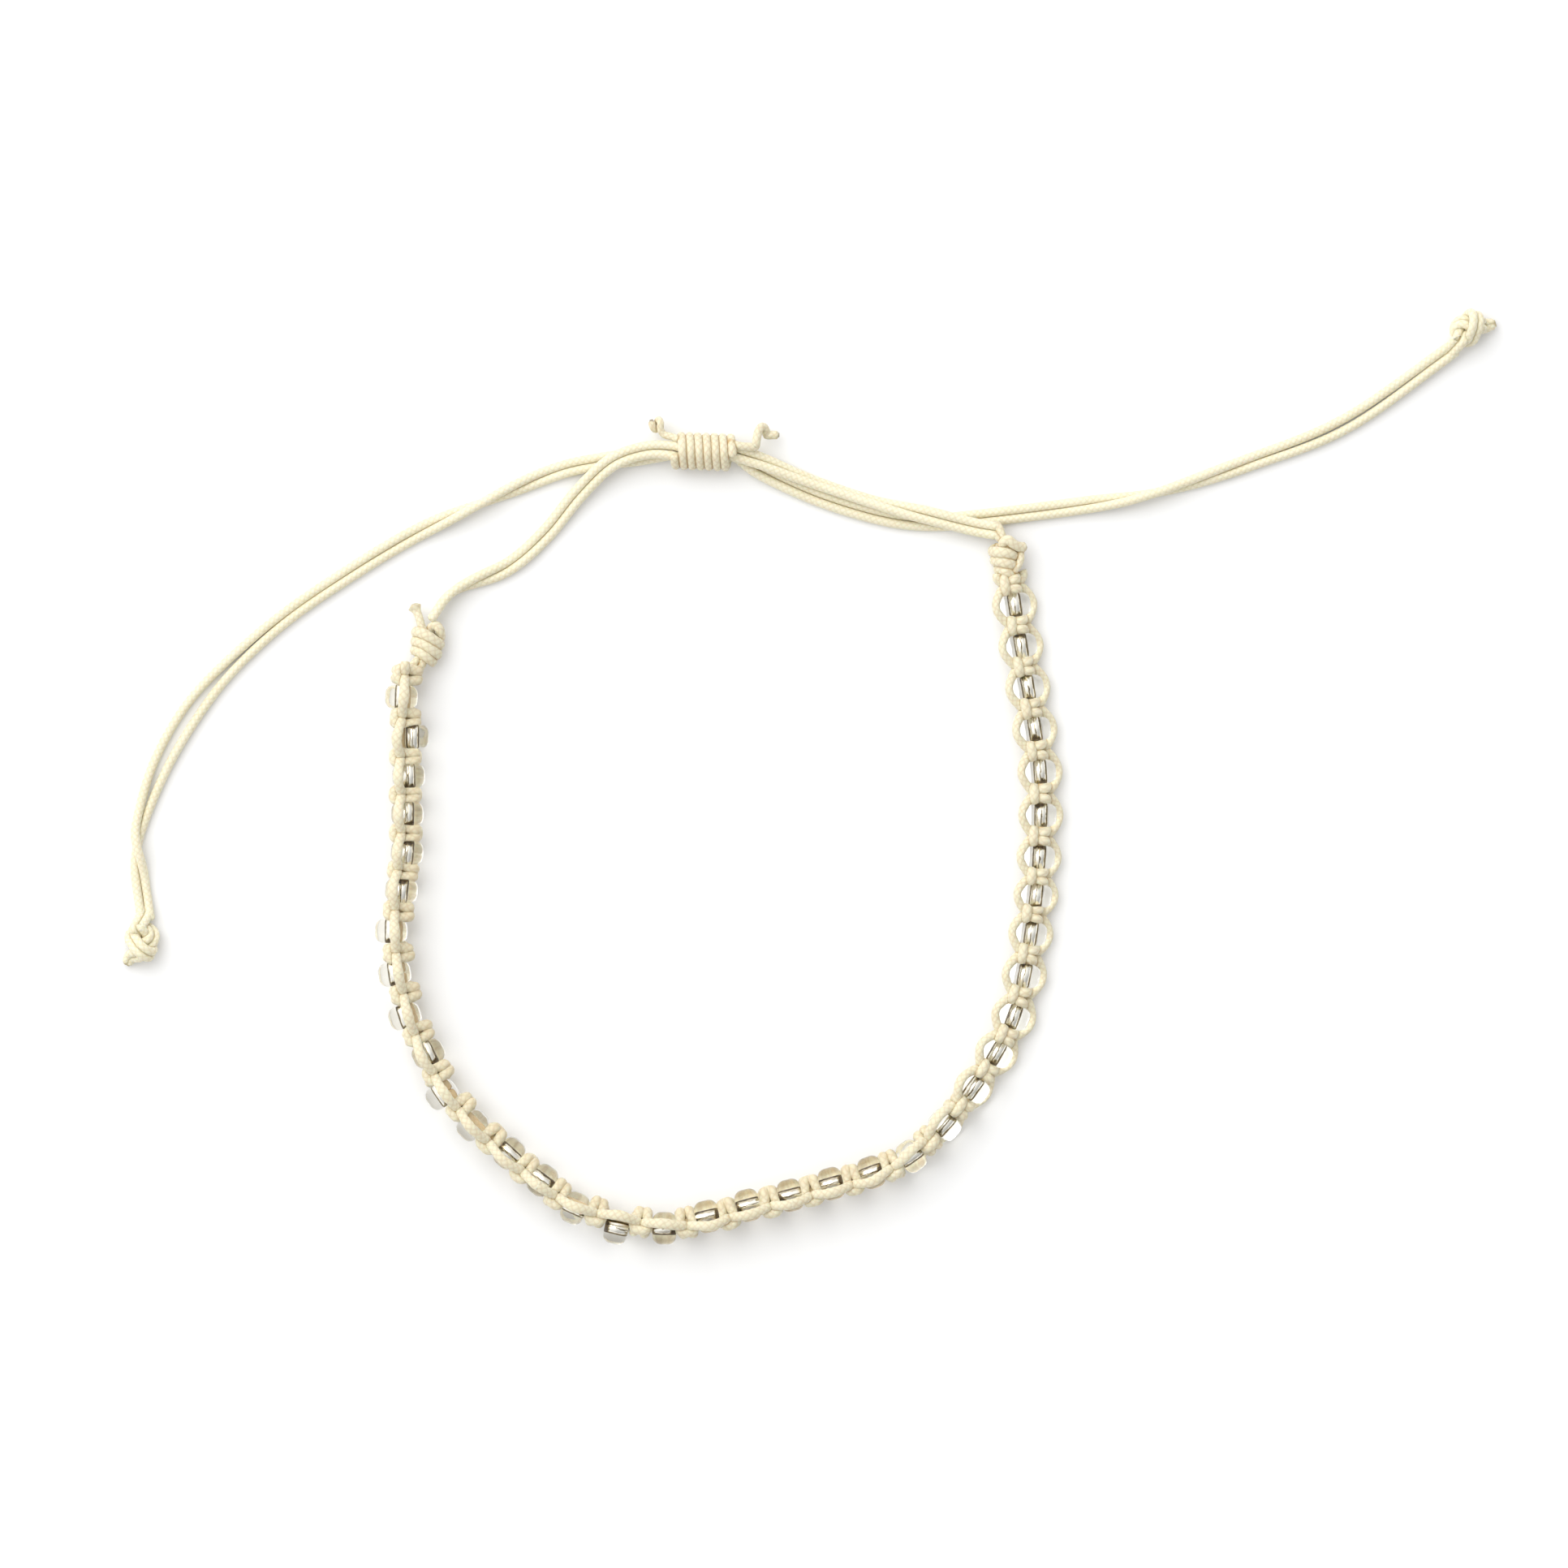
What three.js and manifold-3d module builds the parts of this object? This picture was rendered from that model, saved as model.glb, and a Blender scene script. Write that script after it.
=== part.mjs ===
// A macramé bracelet: glass seed beads on a core cord, square knots between them, and two cord pairs
// that close the loop through one sliding knot. It lies on a flat surface at z = 0.
// Millimetres, +Z up. The origin is the middle of the bracelet's footprint without its free cords.
import * as THREE from 'three';
import { mergeGeometries, mergeVertices } from 'three/addons/utils/BufferGeometryUtils.js';
import Module from 'manifold-3d';

const wasm = await Module();
wasm.setup();

// --- Driving dimensions -------------------------------------------------------------------------
const CORD_RADIUS = 0.45;        // waxed cord
const CLEARANCE = 0.06;          // between pieces that touch
const DEGREE = Math.PI / 180;

const BEAD_COUNT = 37;
const BEAD_SIDES = 8;
const BEAD_FLAT = 1.55;          // axis to a side face
const BEAD_HALF = 1.1;           // half its length along the hole
const BEAD_LAND = 0.65;          // half the straight part of its side
const BEAD_RIM = 0.95;           // radius of its end face
const BEAD_HOLE = 0.58;

const BOW_INNER = 1.74;          // band line to the inside and the outside of a bow
const BOW_OUTER = 2.42;
const BOW_HALF = 0.5;            // half the width of a bow
const BOW_SHOULDER = 0.95;       // half the straight part of its outside
const KNOT_WIDE = 1.05;          // half a square knot, in the plane of the bows
const KNOT_DEEP = 1.35;          // half a square knot, across that plane
const KNOT_EDGE = 0.85;          // the same where a bow leaves the knot
const BARREL_SIDES = 8;
const END_GAP = -0.9;            // the first and the last square knot run on past the middle of a gap
const STRETCH_ENDS = [0, 3, 6, 9, 12, 15, 18, 21, 24, 27, 30, 33, 37];

const PAIR_PITCH = 0.93;         // between the two cords of a pair that lie side by side
const FAR_TURN = 50;             // a pair that turns further between two rows gets a point half way
const FAR_APART = 1.06;          // pitch of the pair there
const SLIDER = { x: -1.6, y: 37.3, heading: -2, half: 3.2, wraps: 7, flat: 1.72, groove: 1.5, bore: 1.28 };
const SLIDER_PITCH = 0.49;       // from the sliding knot's axis to the middle of each pair

// The line of the band, seen from above: one row for every second bead, and one row past each end.
const BAND_ROWS = [
  { bead: -1, x: 28.2, y: 29.9 },
  { bead: 1, x: 29, y: 22.2 },
  { bead: 3, x: 30.3, y: 14.1 },
  { bead: 5, x: 31.5, y: 5.8 },
  { bead: 7, x: 31.4, y: -2.6 },
  { bead: 9, x: 30.6, y: -10.1 },
  { bead: 11, x: 28.9, y: -18.3 },
  { bead: 13, x: 24.9, y: -25.3 },
  { bead: 15, x: 18.8, y: -32 },
  { bead: 17, x: 10.8, y: -34.8 },
  { bead: 19, x: 2.6, y: -37 },
  { bead: 21, x: -5.6, y: -38.8 },
  { bead: 23, x: -14.2, y: -36.9 },
  { bead: 25, x: -20.9, y: -31.9 },
  { bead: 27, x: -27.5, y: -26 },
  { bead: 29, x: -31, y: -18.3 },
  { bead: 31, x: -31.9, y: -9.8 },
  { bead: 33, x: -31.1, y: -2.1 },
  { bead: 35, x: -31, y: 5.4 },
  { bead: 37, x: -31, y: 12.9 },
  { bead: 39, x: -28.4, y: 19.9 },
];

// How the band lies: turn is the tilt of the bows, 0 flat with a bow towards the middle of the loop
// and 90 on edge; lean is how far the bead slips sideways between its bows, positive inwards.
const LIE_ROWS = [
  { upTo: 11, turn: 20, lean: 0 },
  { upTo: 12, turn: 30, lean: 0 },
  { upTo: 13, turn: 45, lean: 0 },
  { upTo: 14, turn: 60, lean: 0 },
  { upTo: 15, turn: 78, lean: 0 },
  { upTo: 20, turn: 105, lean: 0.4 },
  { upTo: 21, turn: 80, lean: 0 },
  { upTo: 22, turn: 78, lean: -0.7 },
  { upTo: 23, turn: 80, lean: -0.2 },
  { upTo: 25, turn: 105, lean: 0.5 },
  { upTo: 27, turn: 78, lean: -0.3 },
  { upTo: 28, turn: 105, lean: 0.5 },
  { upTo: 29, turn: 75, lean: -0.4 },
  { upTo: 31, turn: 65, lean: -0.7 },
  { upTo: 36, turn: 110, lean: 0.7 },
  { upTo: 37, turn: 85, lean: -0.7 },
];

// Routes of the two cord pairs on either side of the sliding knot. apart is the pitch of the two
// cords, turn is 0 side by side and 90 one above the other.
const LEFT_PAIR = {
  toSlider: [
    { x: -28.5, y: 20.7, z: 1.6, apart: PAIR_PITCH, turn: 90 },
    { x: -26.2, y: 23.6, z: 1.0, apart: PAIR_PITCH, turn: 90 },
    { x: -20.9, y: 26, z: 0.45, apart: PAIR_PITCH, turn: 0 },
    { x: -17.2, y: 29.2, z: 0.45, apart: PAIR_PITCH, turn: 0 },
    { x: -13.9, y: 33.2, z: 1.0, apart: PAIR_PITCH, turn: 0 },
    { x: -10.7, y: 36.2, z: 1.75, apart: PAIR_PITCH, turn: 0 },
    { x: -7.4, y: 37.4, z: 2.1, apart: PAIR_PITCH, turn: 0 },
  ],
  fromSlider: [
    { x: 4.1, y: 35.4, z: 0.75, apart: PAIR_PITCH, turn: 180 },
    { x: 9.8, y: 32.8, z: 0.45, apart: PAIR_PITCH, turn: 180 },
    { x: 16.2, y: 30.9, z: 0.45, apart: PAIR_PITCH, turn: 180 },
    { x: 21, y: 30.4, z: 0.45, apart: PAIR_PITCH, turn: 180 },
    { x: 25.8, y: 30.8, z: 0.45, apart: PAIR_PITCH, turn: 180 },
    { x: 35.4, y: 32, z: 0.5, apart: PAIR_PITCH, turn: 170 },
    { x: 43, y: 33.3, z: 0.93, apart: PAIR_PITCH, turn: 90 },
    { x: 52.2, y: 36.3, z: 0.5, apart: PAIR_PITCH, turn: 10 },
    { x: 61.8, y: 40.2, z: 0.45, apart: 1.1, turn: 0 },
    { x: 72.4, y: 47.6, z: 0.9, apart: PAIR_PITCH, turn: 0 },
  ],
};
const RIGHT_PAIR = {
  toSlider: [
    { x: 27.3, y: 29.5, z: 1.65, apart: PAIR_PITCH, turn: 0 },
    { x: 25, y: 29.9, z: 1.42, apart: PAIR_PITCH, turn: 0 },
    { x: 21, y: 30.9, z: 1.42, apart: PAIR_PITCH, turn: 0 },
    { x: 15.5, y: 32.25, z: 1.0, apart: PAIR_PITCH, turn: 60 },
    { x: 9.3, y: 34.3, z: 1.0, apart: PAIR_PITCH, turn: 60 },
    { x: 4.5, y: 36.2, z: 1.6, apart: PAIR_PITCH, turn: 30 },
  ],
  fromSlider: [
    { x: -8.2, y: 36.8, z: 0.75, apart: PAIR_PITCH, turn: 180 },
    { x: -12.2, y: 36.3, z: 0.45, apart: PAIR_PITCH, turn: 180 },
    { x: -16.6, y: 35.2, z: 0.45, apart: PAIR_PITCH, turn: 180 },
    { x: -23.4, y: 32.3, z: 0.93, apart: PAIR_PITCH, turn: 90 },
    { x: -30.1, y: 29.2, z: 0.45, apart: PAIR_PITCH, turn: 0 },
    { x: -36.6, y: 25.3, z: 0.45, apart: PAIR_PITCH, turn: 0 },
    { x: -43, y: 20.9, z: 0.45, apart: PAIR_PITCH, turn: 0 },
    { x: -48.4, y: 16.1, z: 0.45, apart: 1.2, turn: 0 },
    { x: -52.1, y: 11.7, z: 0.45, apart: 1.65, turn: 0 },
    { x: -55.1, y: 6.5, z: 0.45, apart: 1.5, turn: 0 },
    { x: -57, y: 1.2, z: 0.7, apart: PAIR_PITCH, turn: -30 },
    { x: -57.4, y: -1.5, z: 0.93, apart: PAIR_PITCH, turn: -90 },
    { x: -57.1, y: -4.9, z: 0.45, apart: PAIR_PITCH, turn: -180 },
    { x: -56.5, y: -8.9, z: 0.9, apart: PAIR_PITCH, turn: -180 },
  ],
};

// --- Materials ----------------------------------------------------------------------------------
const cordMaterial = () => new THREE.MeshStandardMaterial({ color: 0xece2c4, roughness: 0.7, metalness: 0 });
const glassMaterial = () => new THREE.MeshStandardMaterial({ color: 0xf2f2ee, roughness: 0.05, metalness: 0 });

// --- Solids -------------------------------------------------------------------------------------
// A geometry with its shared corners merged and the flat triangles at its poles left out.
function welded(geometry) {
  const shell = geometry.clone();
  shell.deleteAttribute('normal');
  shell.deleteAttribute('uv');
  const merged = mergeVertices(shell, 1e-4);
  const kept = [];
  for (let i = 0; i < merged.index.count; i += 3) {
    const [a, b, c] = [0, 1, 2].map((k) => merged.index.getX(i + k));
    if (a !== b && b !== c && c !== a) kept.push(a, b, c);
  }
  merged.setIndex(kept);
  return merged;
}

function toSolid(geometry) {
  const shell = welded(geometry);
  return new wasm.Manifold(new wasm.Mesh({
    numProp: 3,
    vertProperties: new Float32Array(shell.attributes.position.array),
    triVerts: new Uint32Array(shell.index.array),
  }));
}

function toGeometry(solid) {
  const { vertProperties, triVerts } = solid.getMesh();
  const geometry = new THREE.BufferGeometry();
  geometry.setAttribute('position', new THREE.BufferAttribute(new Float32Array(vertProperties), 3));
  geometry.setIndex(new THREE.BufferAttribute(new Uint32Array(triVerts), 1));
  return geometry;
}

const joined = (solids) => solids.reduce((all, one) => all.add(one));

const cornerOf = (flat, sides) => flat / Math.cos(Math.PI / sides);

// A turned shape about local X with a flat side down; rows are [along, radius].
function turned(rows, sides) {
  const profile = rows.map(([along, radius]) => new THREE.Vector2(radius, along));
  const lathe = new THREE.LatheGeometry(profile, sides);
  return lathe.rotateY(Math.PI / sides).rotateZ(-Math.PI / 2);
}

function polygon(radiusX, radiusY, sides) {
  const corners = [];
  for (let i = 0; i < sides; i += 1) {
    const angle = ((i + 0.5) * 2 * Math.PI) / sides;
    corners.push(new THREE.Vector2(radiusX * Math.cos(angle), radiusY * Math.sin(angle)));
  }
  return new THREE.Shape(corners);
}

// A smooth line that is stepped row by row, so that each row of its table is a section of the tube.
class RowCurve extends THREE.CatmullRomCurve3 {
  constructor(points) {
    super(points, false, 'catmullrom', 0.5);
  }

  getUtoTmapping(u) {
    return u;
  }
}

function tube(points, section, stepsPerRow = 1) {
  const extrudePath = new RowCurve(points);
  const steps = (points.length - 1) * stepsPerRow;
  return new THREE.ExtrudeGeometry(section, { steps, extrudePath, curveSegments: 1 });
}

const vectors = (rows) => rows.map(([x, y, z]) => new THREE.Vector3(x, y, z));
const lump = (radius, x, y, z) => new THREE.SphereGeometry(radius, 6, 4).translate(x, y, z);

// --- The band -----------------------------------------------------------------------------------
const bandLine = new THREE.CatmullRomCurve3(
  BAND_ROWS.map(({ x, y }) => new THREE.Vector3(x, y, 0)), false, 'catmullrom', 0.5,
);
const lieOf = (bead) => LIE_ROWS.find(({ upTo }) => bead <= upTo);

// The lowest height of the band's line at which bead and bows are clear of the surface.
function restHeight(bead) {
  const turn = lieOf(bead).turn * DEGREE;
  const bow = BOW_OUTER * Math.abs(Math.sin(turn)) + BOW_HALF * Math.abs(Math.cos(turn));
  return Math.max(BEAD_FLAT, bow);
}

const clampBead = (bead) => Math.min(Math.max(bead, 1), BEAD_COUNT);

function bandHeight(bead) {
  const near = [-1, 0, 1].map((step) => restHeight(clampBead(bead + step)));
  return Math.max(near[1], (near[0] + near[1] + near[2]) / 3);
}

// Place and axes of the band at a bead, or at the knot half way to the next one: along the band,
// towards one bow, and across the bows.
function bandFrame(bead) {
  const [below, above] = [clampBead(Math.floor(bead)), clampBead(Math.ceil(bead))];
  const mean = (value) => (value(below) + value(above)) / 2;
  const share = (bead - BAND_ROWS[0].bead) / (BAND_ROWS.at(-1).bead - BAND_ROWS[0].bead);
  const along = bandLine.getTangent(share);
  const inwards = new THREE.Vector3(along.y, -along.x, 0);
  const turn = mean((n) => lieOf(n).turn) * DEGREE;
  const bow = inwards.clone().multiplyScalar(Math.cos(turn)).setZ(Math.sin(turn));
  const across = along.clone().cross(bow);
  const place = bandLine.getPoint(share).setZ(mean(bandHeight));
  return { along, bow, across, place, lean: lieOf(below).lean };
}

function beadPlace(bead) {
  const { across, place, lean } = bandFrame(bead);
  return place.addScaledVector(across, lean);
}

function beadGeometry() {
  return turned([
    [-BEAD_HALF, BEAD_HOLE],
    [-BEAD_HALF, BEAD_RIM],
    [-BEAD_LAND, cornerOf(BEAD_FLAT, BEAD_SIDES)],
    [BEAD_LAND, cornerOf(BEAD_FLAT, BEAD_SIDES)],
    [BEAD_HALF, BEAD_RIM],
    [BEAD_HALF, BEAD_HOLE],
    [-BEAD_HALF, BEAD_HOLE],
  ], BEAD_SIDES);
}

// The core cord where it runs through a bead, its ends buried in the knots on both sides.
function core(bead) {
  const { along } = bandFrame(bead);
  const reach = BEAD_HALF + 0.45;
  const radius = CORD_RADIUS - CLEARANCE / 2;
  const rows = [[-reach, 0], [-reach, radius], [reach, radius], [reach, 0]];
  return turned(rows, 4).rotateZ(Math.atan2(along.y, along.x)).translate(...beadPlace(bead));
}

const pointIn = ({ place, along, bow, across }, [x, y, z]) => place.clone()
  .addScaledVector(along, x).addScaledVector(bow, y).addScaledVector(across, z);

// The four corners across a working cord, from its inner side to its outer side; each side is
// [along, towards the bow] in a frame of its own.
function cordSection(inner, innerFrame, outer, outerFrame, halfWidth) {
  const corner = (side, frame, across) => pointIn(frame, [...side, across]);
  return [
    corner(inner, innerFrame, halfWidth), corner(outer, outerFrame, halfWidth),
    corner(outer, outerFrame, -halfWidth), corner(inner, innerFrame, -halfWidth),
  ];
}
const OUTER_WALL = 1;            // the side of a section between its two outer corners

// The two working cords round one bead: a bow on either side of it, and at both ends the half of a
// square knot that lies between the bead and the middle of the gap. gapOf tells how far that half
// knot is from the middle at an end; at 0 it is left open there, to meet its other half.
function beadLoop(bead, gapOf) {
  const frame = bandFrame(bead);
  const face = BEAD_HALF + CLEARANCE;
  const side = BEAD_LAND + CLEARANCE;
  const quarter = (end, bow) => {
    const knot = bandFrame(bead + end / 2);
    knot.place.addScaledVector(knot.along, -end * gapOf(end));
    const [low, high] = [bow * BOW_INNER, bow * BOW_OUTER];
    return [
      { end, corners: cordSection([end * face, 0], frame, [0, 0], knot, KNOT_DEEP) },
      { end, corners: cordSection([end * face, bow * BEAD_RIM], frame, [0, bow * KNOT_WIDE], knot, KNOT_EDGE) },
      { end: 0, corners: cordSection([end * side, low], frame, [end * BOW_SHOULDER, high], frame, BOW_HALF) },
    ];
  };
  const sections = [
    ...quarter(1, 1), ...quarter(-1, 1).reverse(),
    ...quarter(-1, -1).slice(1), ...quarter(1, -1).slice(1).reverse(),
  ];
  const index = [];
  sections.forEach(({ end }, i) => {
    const next = (i + 1) % sections.length;
    const isOpen = end !== 0 && end === sections[next].end && gapOf(end) === 0;
    for (let k = 0; k < 4; k += 1) {
      if (isOpen && k === OUTER_WALL) continue;
      const [a, b] = [i * 4 + k, i * 4 + ((k + 1) % 4)];
      const [c, d] = [next * 4 + k, next * 4 + ((k + 1) % 4)];
      index.push(a, b, c, b, d, c);
    }
  });
  const geometry = new THREE.BufferGeometry();
  geometry.setFromPoints(sections.flatMap(({ corners }) => corners));
  geometry.setIndex(index);
  return geometry;
}

// The knotting of a few beads: their loops, joined at the knots between them, and the core cord.
function knottedStretch(first, last) {
  const beads = Array.from({ length: last - first }, (_, i) => first + 1 + i);
  const loops = beads.map((bead) => beadLoop(bead, (end) => {
    if (bead + end === 0 || bead + end > BEAD_COUNT) return END_GAP;
    return bead + end === first || bead + end === last + 1 ? CLEARANCE / 2 : 0;
  }));
  return toGeometry(joined([mergeGeometries(loops), ...beads.map(core)].map(toSolid)));
}

// --- Knots at the ends --------------------------------------------------------------------------
// Crests and grooves of cord wound side by side, as rows of [along, radius].
function wrapRows(half, wraps, crest, groove) {
  const pitch = (2 * half) / wraps;
  const rows = [];
  for (let i = 0; i < wraps; i += 1) {
    rows.push([-half + (i + 0.5) * pitch, crest]);
    if (i < wraps - 1) rows.push([-half + (i + 1) * pitch, groove]);
  }
  return [[-half, groove], ...rows, [half, groove]];
}

// The barrel knot that gathers the three cords, the neck that leads to it, and its cut stub.
function endKnot({ x, y, heading, flat, half, wraps, neck, stub }) {
  const crest = cornerOf(flat, BARREL_SIDES);
  const rows = wrapRows(half, wraps, crest, crest - 0.25);
  const barrel = turned([[-half, 0], ...rows, [half, 0]], BARREL_SIDES)
    .rotateZ(heading * DEGREE).translate(x, y, flat);
  const round = polygon(CORD_RADIUS, CORD_RADIUS, 6);
  const solids = [barrel, tube(vectors(stub), round)];
  if (neck) solids.push(tube(vectors(neck), polygon(0.6, 0.6, 6)));
  return toGeometry(joined(solids.map(toSolid)));
}

const END_KNOTS = [
  {
    name: 'end_knot_right', x: 28.15, y: 26.85, heading: 102, flat: 1.6, half: 1.5, wraps: 3,
    stub: [[27.9, 28.1, 1.7], [29.2, 28.4, 1.9], [30.3, 28, 1.4]],
  },
  {
    name: 'end_knot_left', x: -28.7, y: 18.4, heading: 75, flat: 1.5, half: 1.85, wraps: 4,
    neck: [[-30.2, 15.85, 2.3], [-29.7, 16.4, 1.9], [-29, 17.2, 1.5]],
    stub: [[-29, 19.7, 1.7], [-29.6, 21.3, 1.3], [-30.3, 22.5, 0.8]],
  },
];

// --- The sliding knot ---------------------------------------------------------------------------
function slidingKnot() {
  const { x, y, heading, half, wraps, flat, groove, bore } = SLIDER;
  const sides = 8;
  const rows = wrapRows(half, wraps, cornerOf(flat, sides), cornerOf(groove, sides));
  const ring = turned([[-half, bore], ...rows, [half, bore], [-half, bore]], sides)
    .rotateZ(heading * DEGREE).translate(x, y, flat);
  const round = polygon(CORD_RADIUS, CORD_RADIUS, 6);
  const leftStub = tube(vectors([[-3.7, 38.6, 2.6], [-5, 39.1, 2.0], [-6, 39.6, 1.5]]), round);
  const rightStub = tube(vectors([
    [1.2, 38.2, 2.7], [2.4, 38, 2.95], [3.6, 38.2, 2.3], [3.9, 39.4, 1.6], [5.5, 38.9, 1.2],
  ]), round);
  const solids = [ring, leftStub, lump(0.85, -6, 39.7, 1.4), rightStub, lump(0.75, 3.7, 38.7, 1.8)];
  return toGeometry(joined(solids.map(toSolid)));
}

// --- Tie cords and their tail knots -------------------------------------------------------------
// Inside the sliding knot the two pairs turn half way round each other.
function rowsInSlider(direction) {
  const rows = [];
  const heading = SLIDER.heading * DEGREE;
  const [alongX, alongY] = [Math.cos(heading) * direction, Math.sin(heading) * direction];
  for (let i = 0; i <= 4; i += 1) {
    const along = SLIDER.half * (i / 2 - 1);
    const angle = (90 + 45 * i) * DEGREE;
    const aside = SLIDER_PITCH * Math.cos(angle);
    rows.push({
      x: SLIDER.x + along * alongX - aside * alongY,
      y: SLIDER.y + along * alongY + aside * alongX,
      z: SLIDER.flat + SLIDER_PITCH * Math.sin(angle),
      apart: 2 * SLIDER_PITCH,
      turn: 45 * i,
    });
  }
  return rows;
}

// The route of one cord of a pair. Where the pair turns far from one row to the next, a point half
// way keeps the two cords from cutting the corner through each other.
function tiePoints({ toSlider, fromSlider }, direction, side) {
  const rows = [...toSlider, ...rowsInSlider(direction), ...fromSlider];
  const middle = new RowCurve(rows.map(({ x, y, z }) => new THREE.Vector3(x, y, z)));
  const pointAt = (share, apart, turn) => {
    const along = middle.getTangent(share);
    const aside = new THREE.Vector3(-along.y, along.x, 0).normalize();
    const offset = (side * apart) / 2;
    const rise = offset * Math.sin(turn * DEGREE);
    const place = middle.getPoint(share);
    place.z = Math.max(place.z, CORD_RADIUS + Math.abs(rise)) + rise;
    return place.addScaledVector(aside, offset * Math.cos(turn * DEGREE));
  };
  const last = rows.length - 1;
  return rows.flatMap(({ apart, turn }, i) => {
    const points = [pointAt(i / last, apart, turn)];
    if (i < last && Math.abs(rows[i + 1].turn - turn) > FAR_TURN) {
      points.push(pointAt((i + 0.5) / last, FAR_APART, (turn + rows[i + 1].turn) / 2));
    }
    return points;
  });
}

const TAIL_KNOTS = [
  {
    name: 'tail_knot_right',
    lumps: [[1.25, 73.8, 49.8, 1.25], [0.75, 72.5, 49.3, 0.9], [0.75, 74.1, 48.5, 0.9]],
    stub: [[74.3, 49.8, 1.3], [75.3, 49.8, 1.0], [76.4, 49.9, 0.6]],
  },
  {
    name: 'tail_knot_left',
    lumps: [[0.9, -58, -10.8, 1.2], [1.1, -57, -11.1, 1.2], [0.8, -55.8, -10.5, 1.2]],
    stub: [[-57.3, -11.4, 1.0], [-57.9, -12.4, 0.8], [-58.4, -13.4, 0.6]],
  },
];

function tailKnot({ lumps, stub }) {
  const solids = lumps.map(([radius, ...place]) => lump(radius, ...place));
  solids.push(tube(vectors(stub), polygon(0.5, 0.5, 6)));
  return toGeometry(joined(solids.map(toSolid)));
}

// --- Assembly -----------------------------------------------------------------------------------
const bracelet = new THREE.Group();

function addPiece(name, geometry, material) {
  const mesh = new THREE.Mesh(geometry, material);
  mesh.name = name;
  bracelet.add(mesh);
  return mesh;
}

const numbered = (name, number) => `${name}_${String(number).padStart(2, '0')}`;

for (let bead = 1; bead <= BEAD_COUNT; bead += 1) {
  const mesh = addPiece(numbered('bead', bead), welded(beadGeometry()), glassMaterial());
  const { along } = bandFrame(bead);
  mesh.position.copy(beadPlace(bead));
  mesh.rotation.z = Math.atan2(along.y, along.x);
}

for (let i = 1; i < STRETCH_ENDS.length; i += 1) {
  const geometry = knottedStretch(STRETCH_ENDS[i - 1], STRETCH_ENDS[i]);
  addPiece(numbered('knotted_cord', i), geometry, cordMaterial());
}

END_KNOTS.forEach((knot) => addPiece(knot.name, endKnot(knot), cordMaterial()));
addPiece('sliding_knot', slidingKnot(), cordMaterial());
TAIL_KNOTS.forEach((knot) => addPiece(knot.name, tailKnot(knot), cordMaterial()));

const roundSection = polygon(CORD_RADIUS, CORD_RADIUS, 8);
for (const [name, pair, direction] of [['left', LEFT_PAIR, 1], ['right', RIGHT_PAIR, -1]]) {
  [1, -1].forEach((side, i) => {
    const geometry = tube(tiePoints(pair, direction, side), roundSection);
    addPiece(`tie_cord_${name}_${i + 1}`, geometry, cordMaterial());
  });
}

export default bracelet;
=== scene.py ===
# %% [markdown]
# # A macramé bracelet with glass beads
#
# The bracelet is one long piece of knotting: a core cord runs through glass seed beads, and two
# working cords are tied round it in a square knot after every bead. At both ends the core leaves
# the knotting as a pair of tie cords, and the two pairs slide through one wrapped knot, so the
# wearer can pull the loop tighter. Everything here is cord or glass, so the lesson is about
# laying cords: a line first, then a round section that follows it, then the plait on its surface.

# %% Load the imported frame
import math

import bpy
import numpy as np
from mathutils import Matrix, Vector


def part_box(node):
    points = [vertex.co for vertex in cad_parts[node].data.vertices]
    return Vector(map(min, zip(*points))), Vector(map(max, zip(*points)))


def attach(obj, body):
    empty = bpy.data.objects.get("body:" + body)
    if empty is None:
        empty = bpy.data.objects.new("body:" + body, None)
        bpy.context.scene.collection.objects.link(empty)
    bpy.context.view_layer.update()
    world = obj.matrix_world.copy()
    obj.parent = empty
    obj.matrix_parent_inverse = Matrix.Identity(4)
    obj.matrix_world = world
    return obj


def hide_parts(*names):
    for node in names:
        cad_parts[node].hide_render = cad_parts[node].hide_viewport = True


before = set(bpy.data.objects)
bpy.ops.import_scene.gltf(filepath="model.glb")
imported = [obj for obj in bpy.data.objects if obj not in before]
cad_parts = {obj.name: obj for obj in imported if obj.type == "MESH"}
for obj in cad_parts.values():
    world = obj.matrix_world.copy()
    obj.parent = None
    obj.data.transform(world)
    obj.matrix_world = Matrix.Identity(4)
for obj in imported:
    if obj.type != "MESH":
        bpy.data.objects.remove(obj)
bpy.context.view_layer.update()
bpy.ops.object.select_all(action="DESELECT")
MM = 0.001
BEADS = 37

# %% [markdown]
# ## The camera
#
# The bracelet lies flat and is looked at from straight above. A long lens a metre away keeps the
# view almost without perspective, so that beads at the edge of the loop are not seen from their
# side. AIM is the point on the floor in the middle of the view.

# %% Camera
VIEW_WIDTH = 154.56 * MM
AIM = Vector((6.3 * MM, 4.6 * MM, 0))
CAMERA_HEIGHT = 1.0
SENSOR = 36

camera_data = bpy.data.cameras.new("camera")
camera_data.sensor_width = SENSOR
camera_data.lens = SENSOR * CAMERA_HEIGHT / VIEW_WIDTH
camera = bpy.data.objects.new("camera", camera_data)
bpy.context.collection.objects.link(camera)
camera.location = AIM + Vector((0, 0, CAMERA_HEIGHT))
bpy.context.scene.camera = camera
bpy.context.scene.view_settings.view_transform = "Standard"
print("lens", round(camera_data.lens, 1), "mm")

# %% [markdown]
# ## How a cord is made
#
# A cord here is a mesh tube: a ring of points is set across the line of the cord at every small
# step. The rings must not spin round the line, or the plait would twist, so each ring takes over
# the direction of the one before it and only tilts with the line. The UV map runs along the cord
# and round it in millimetres of cord, which lets one plait pattern fit every cord, however bent.

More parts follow.
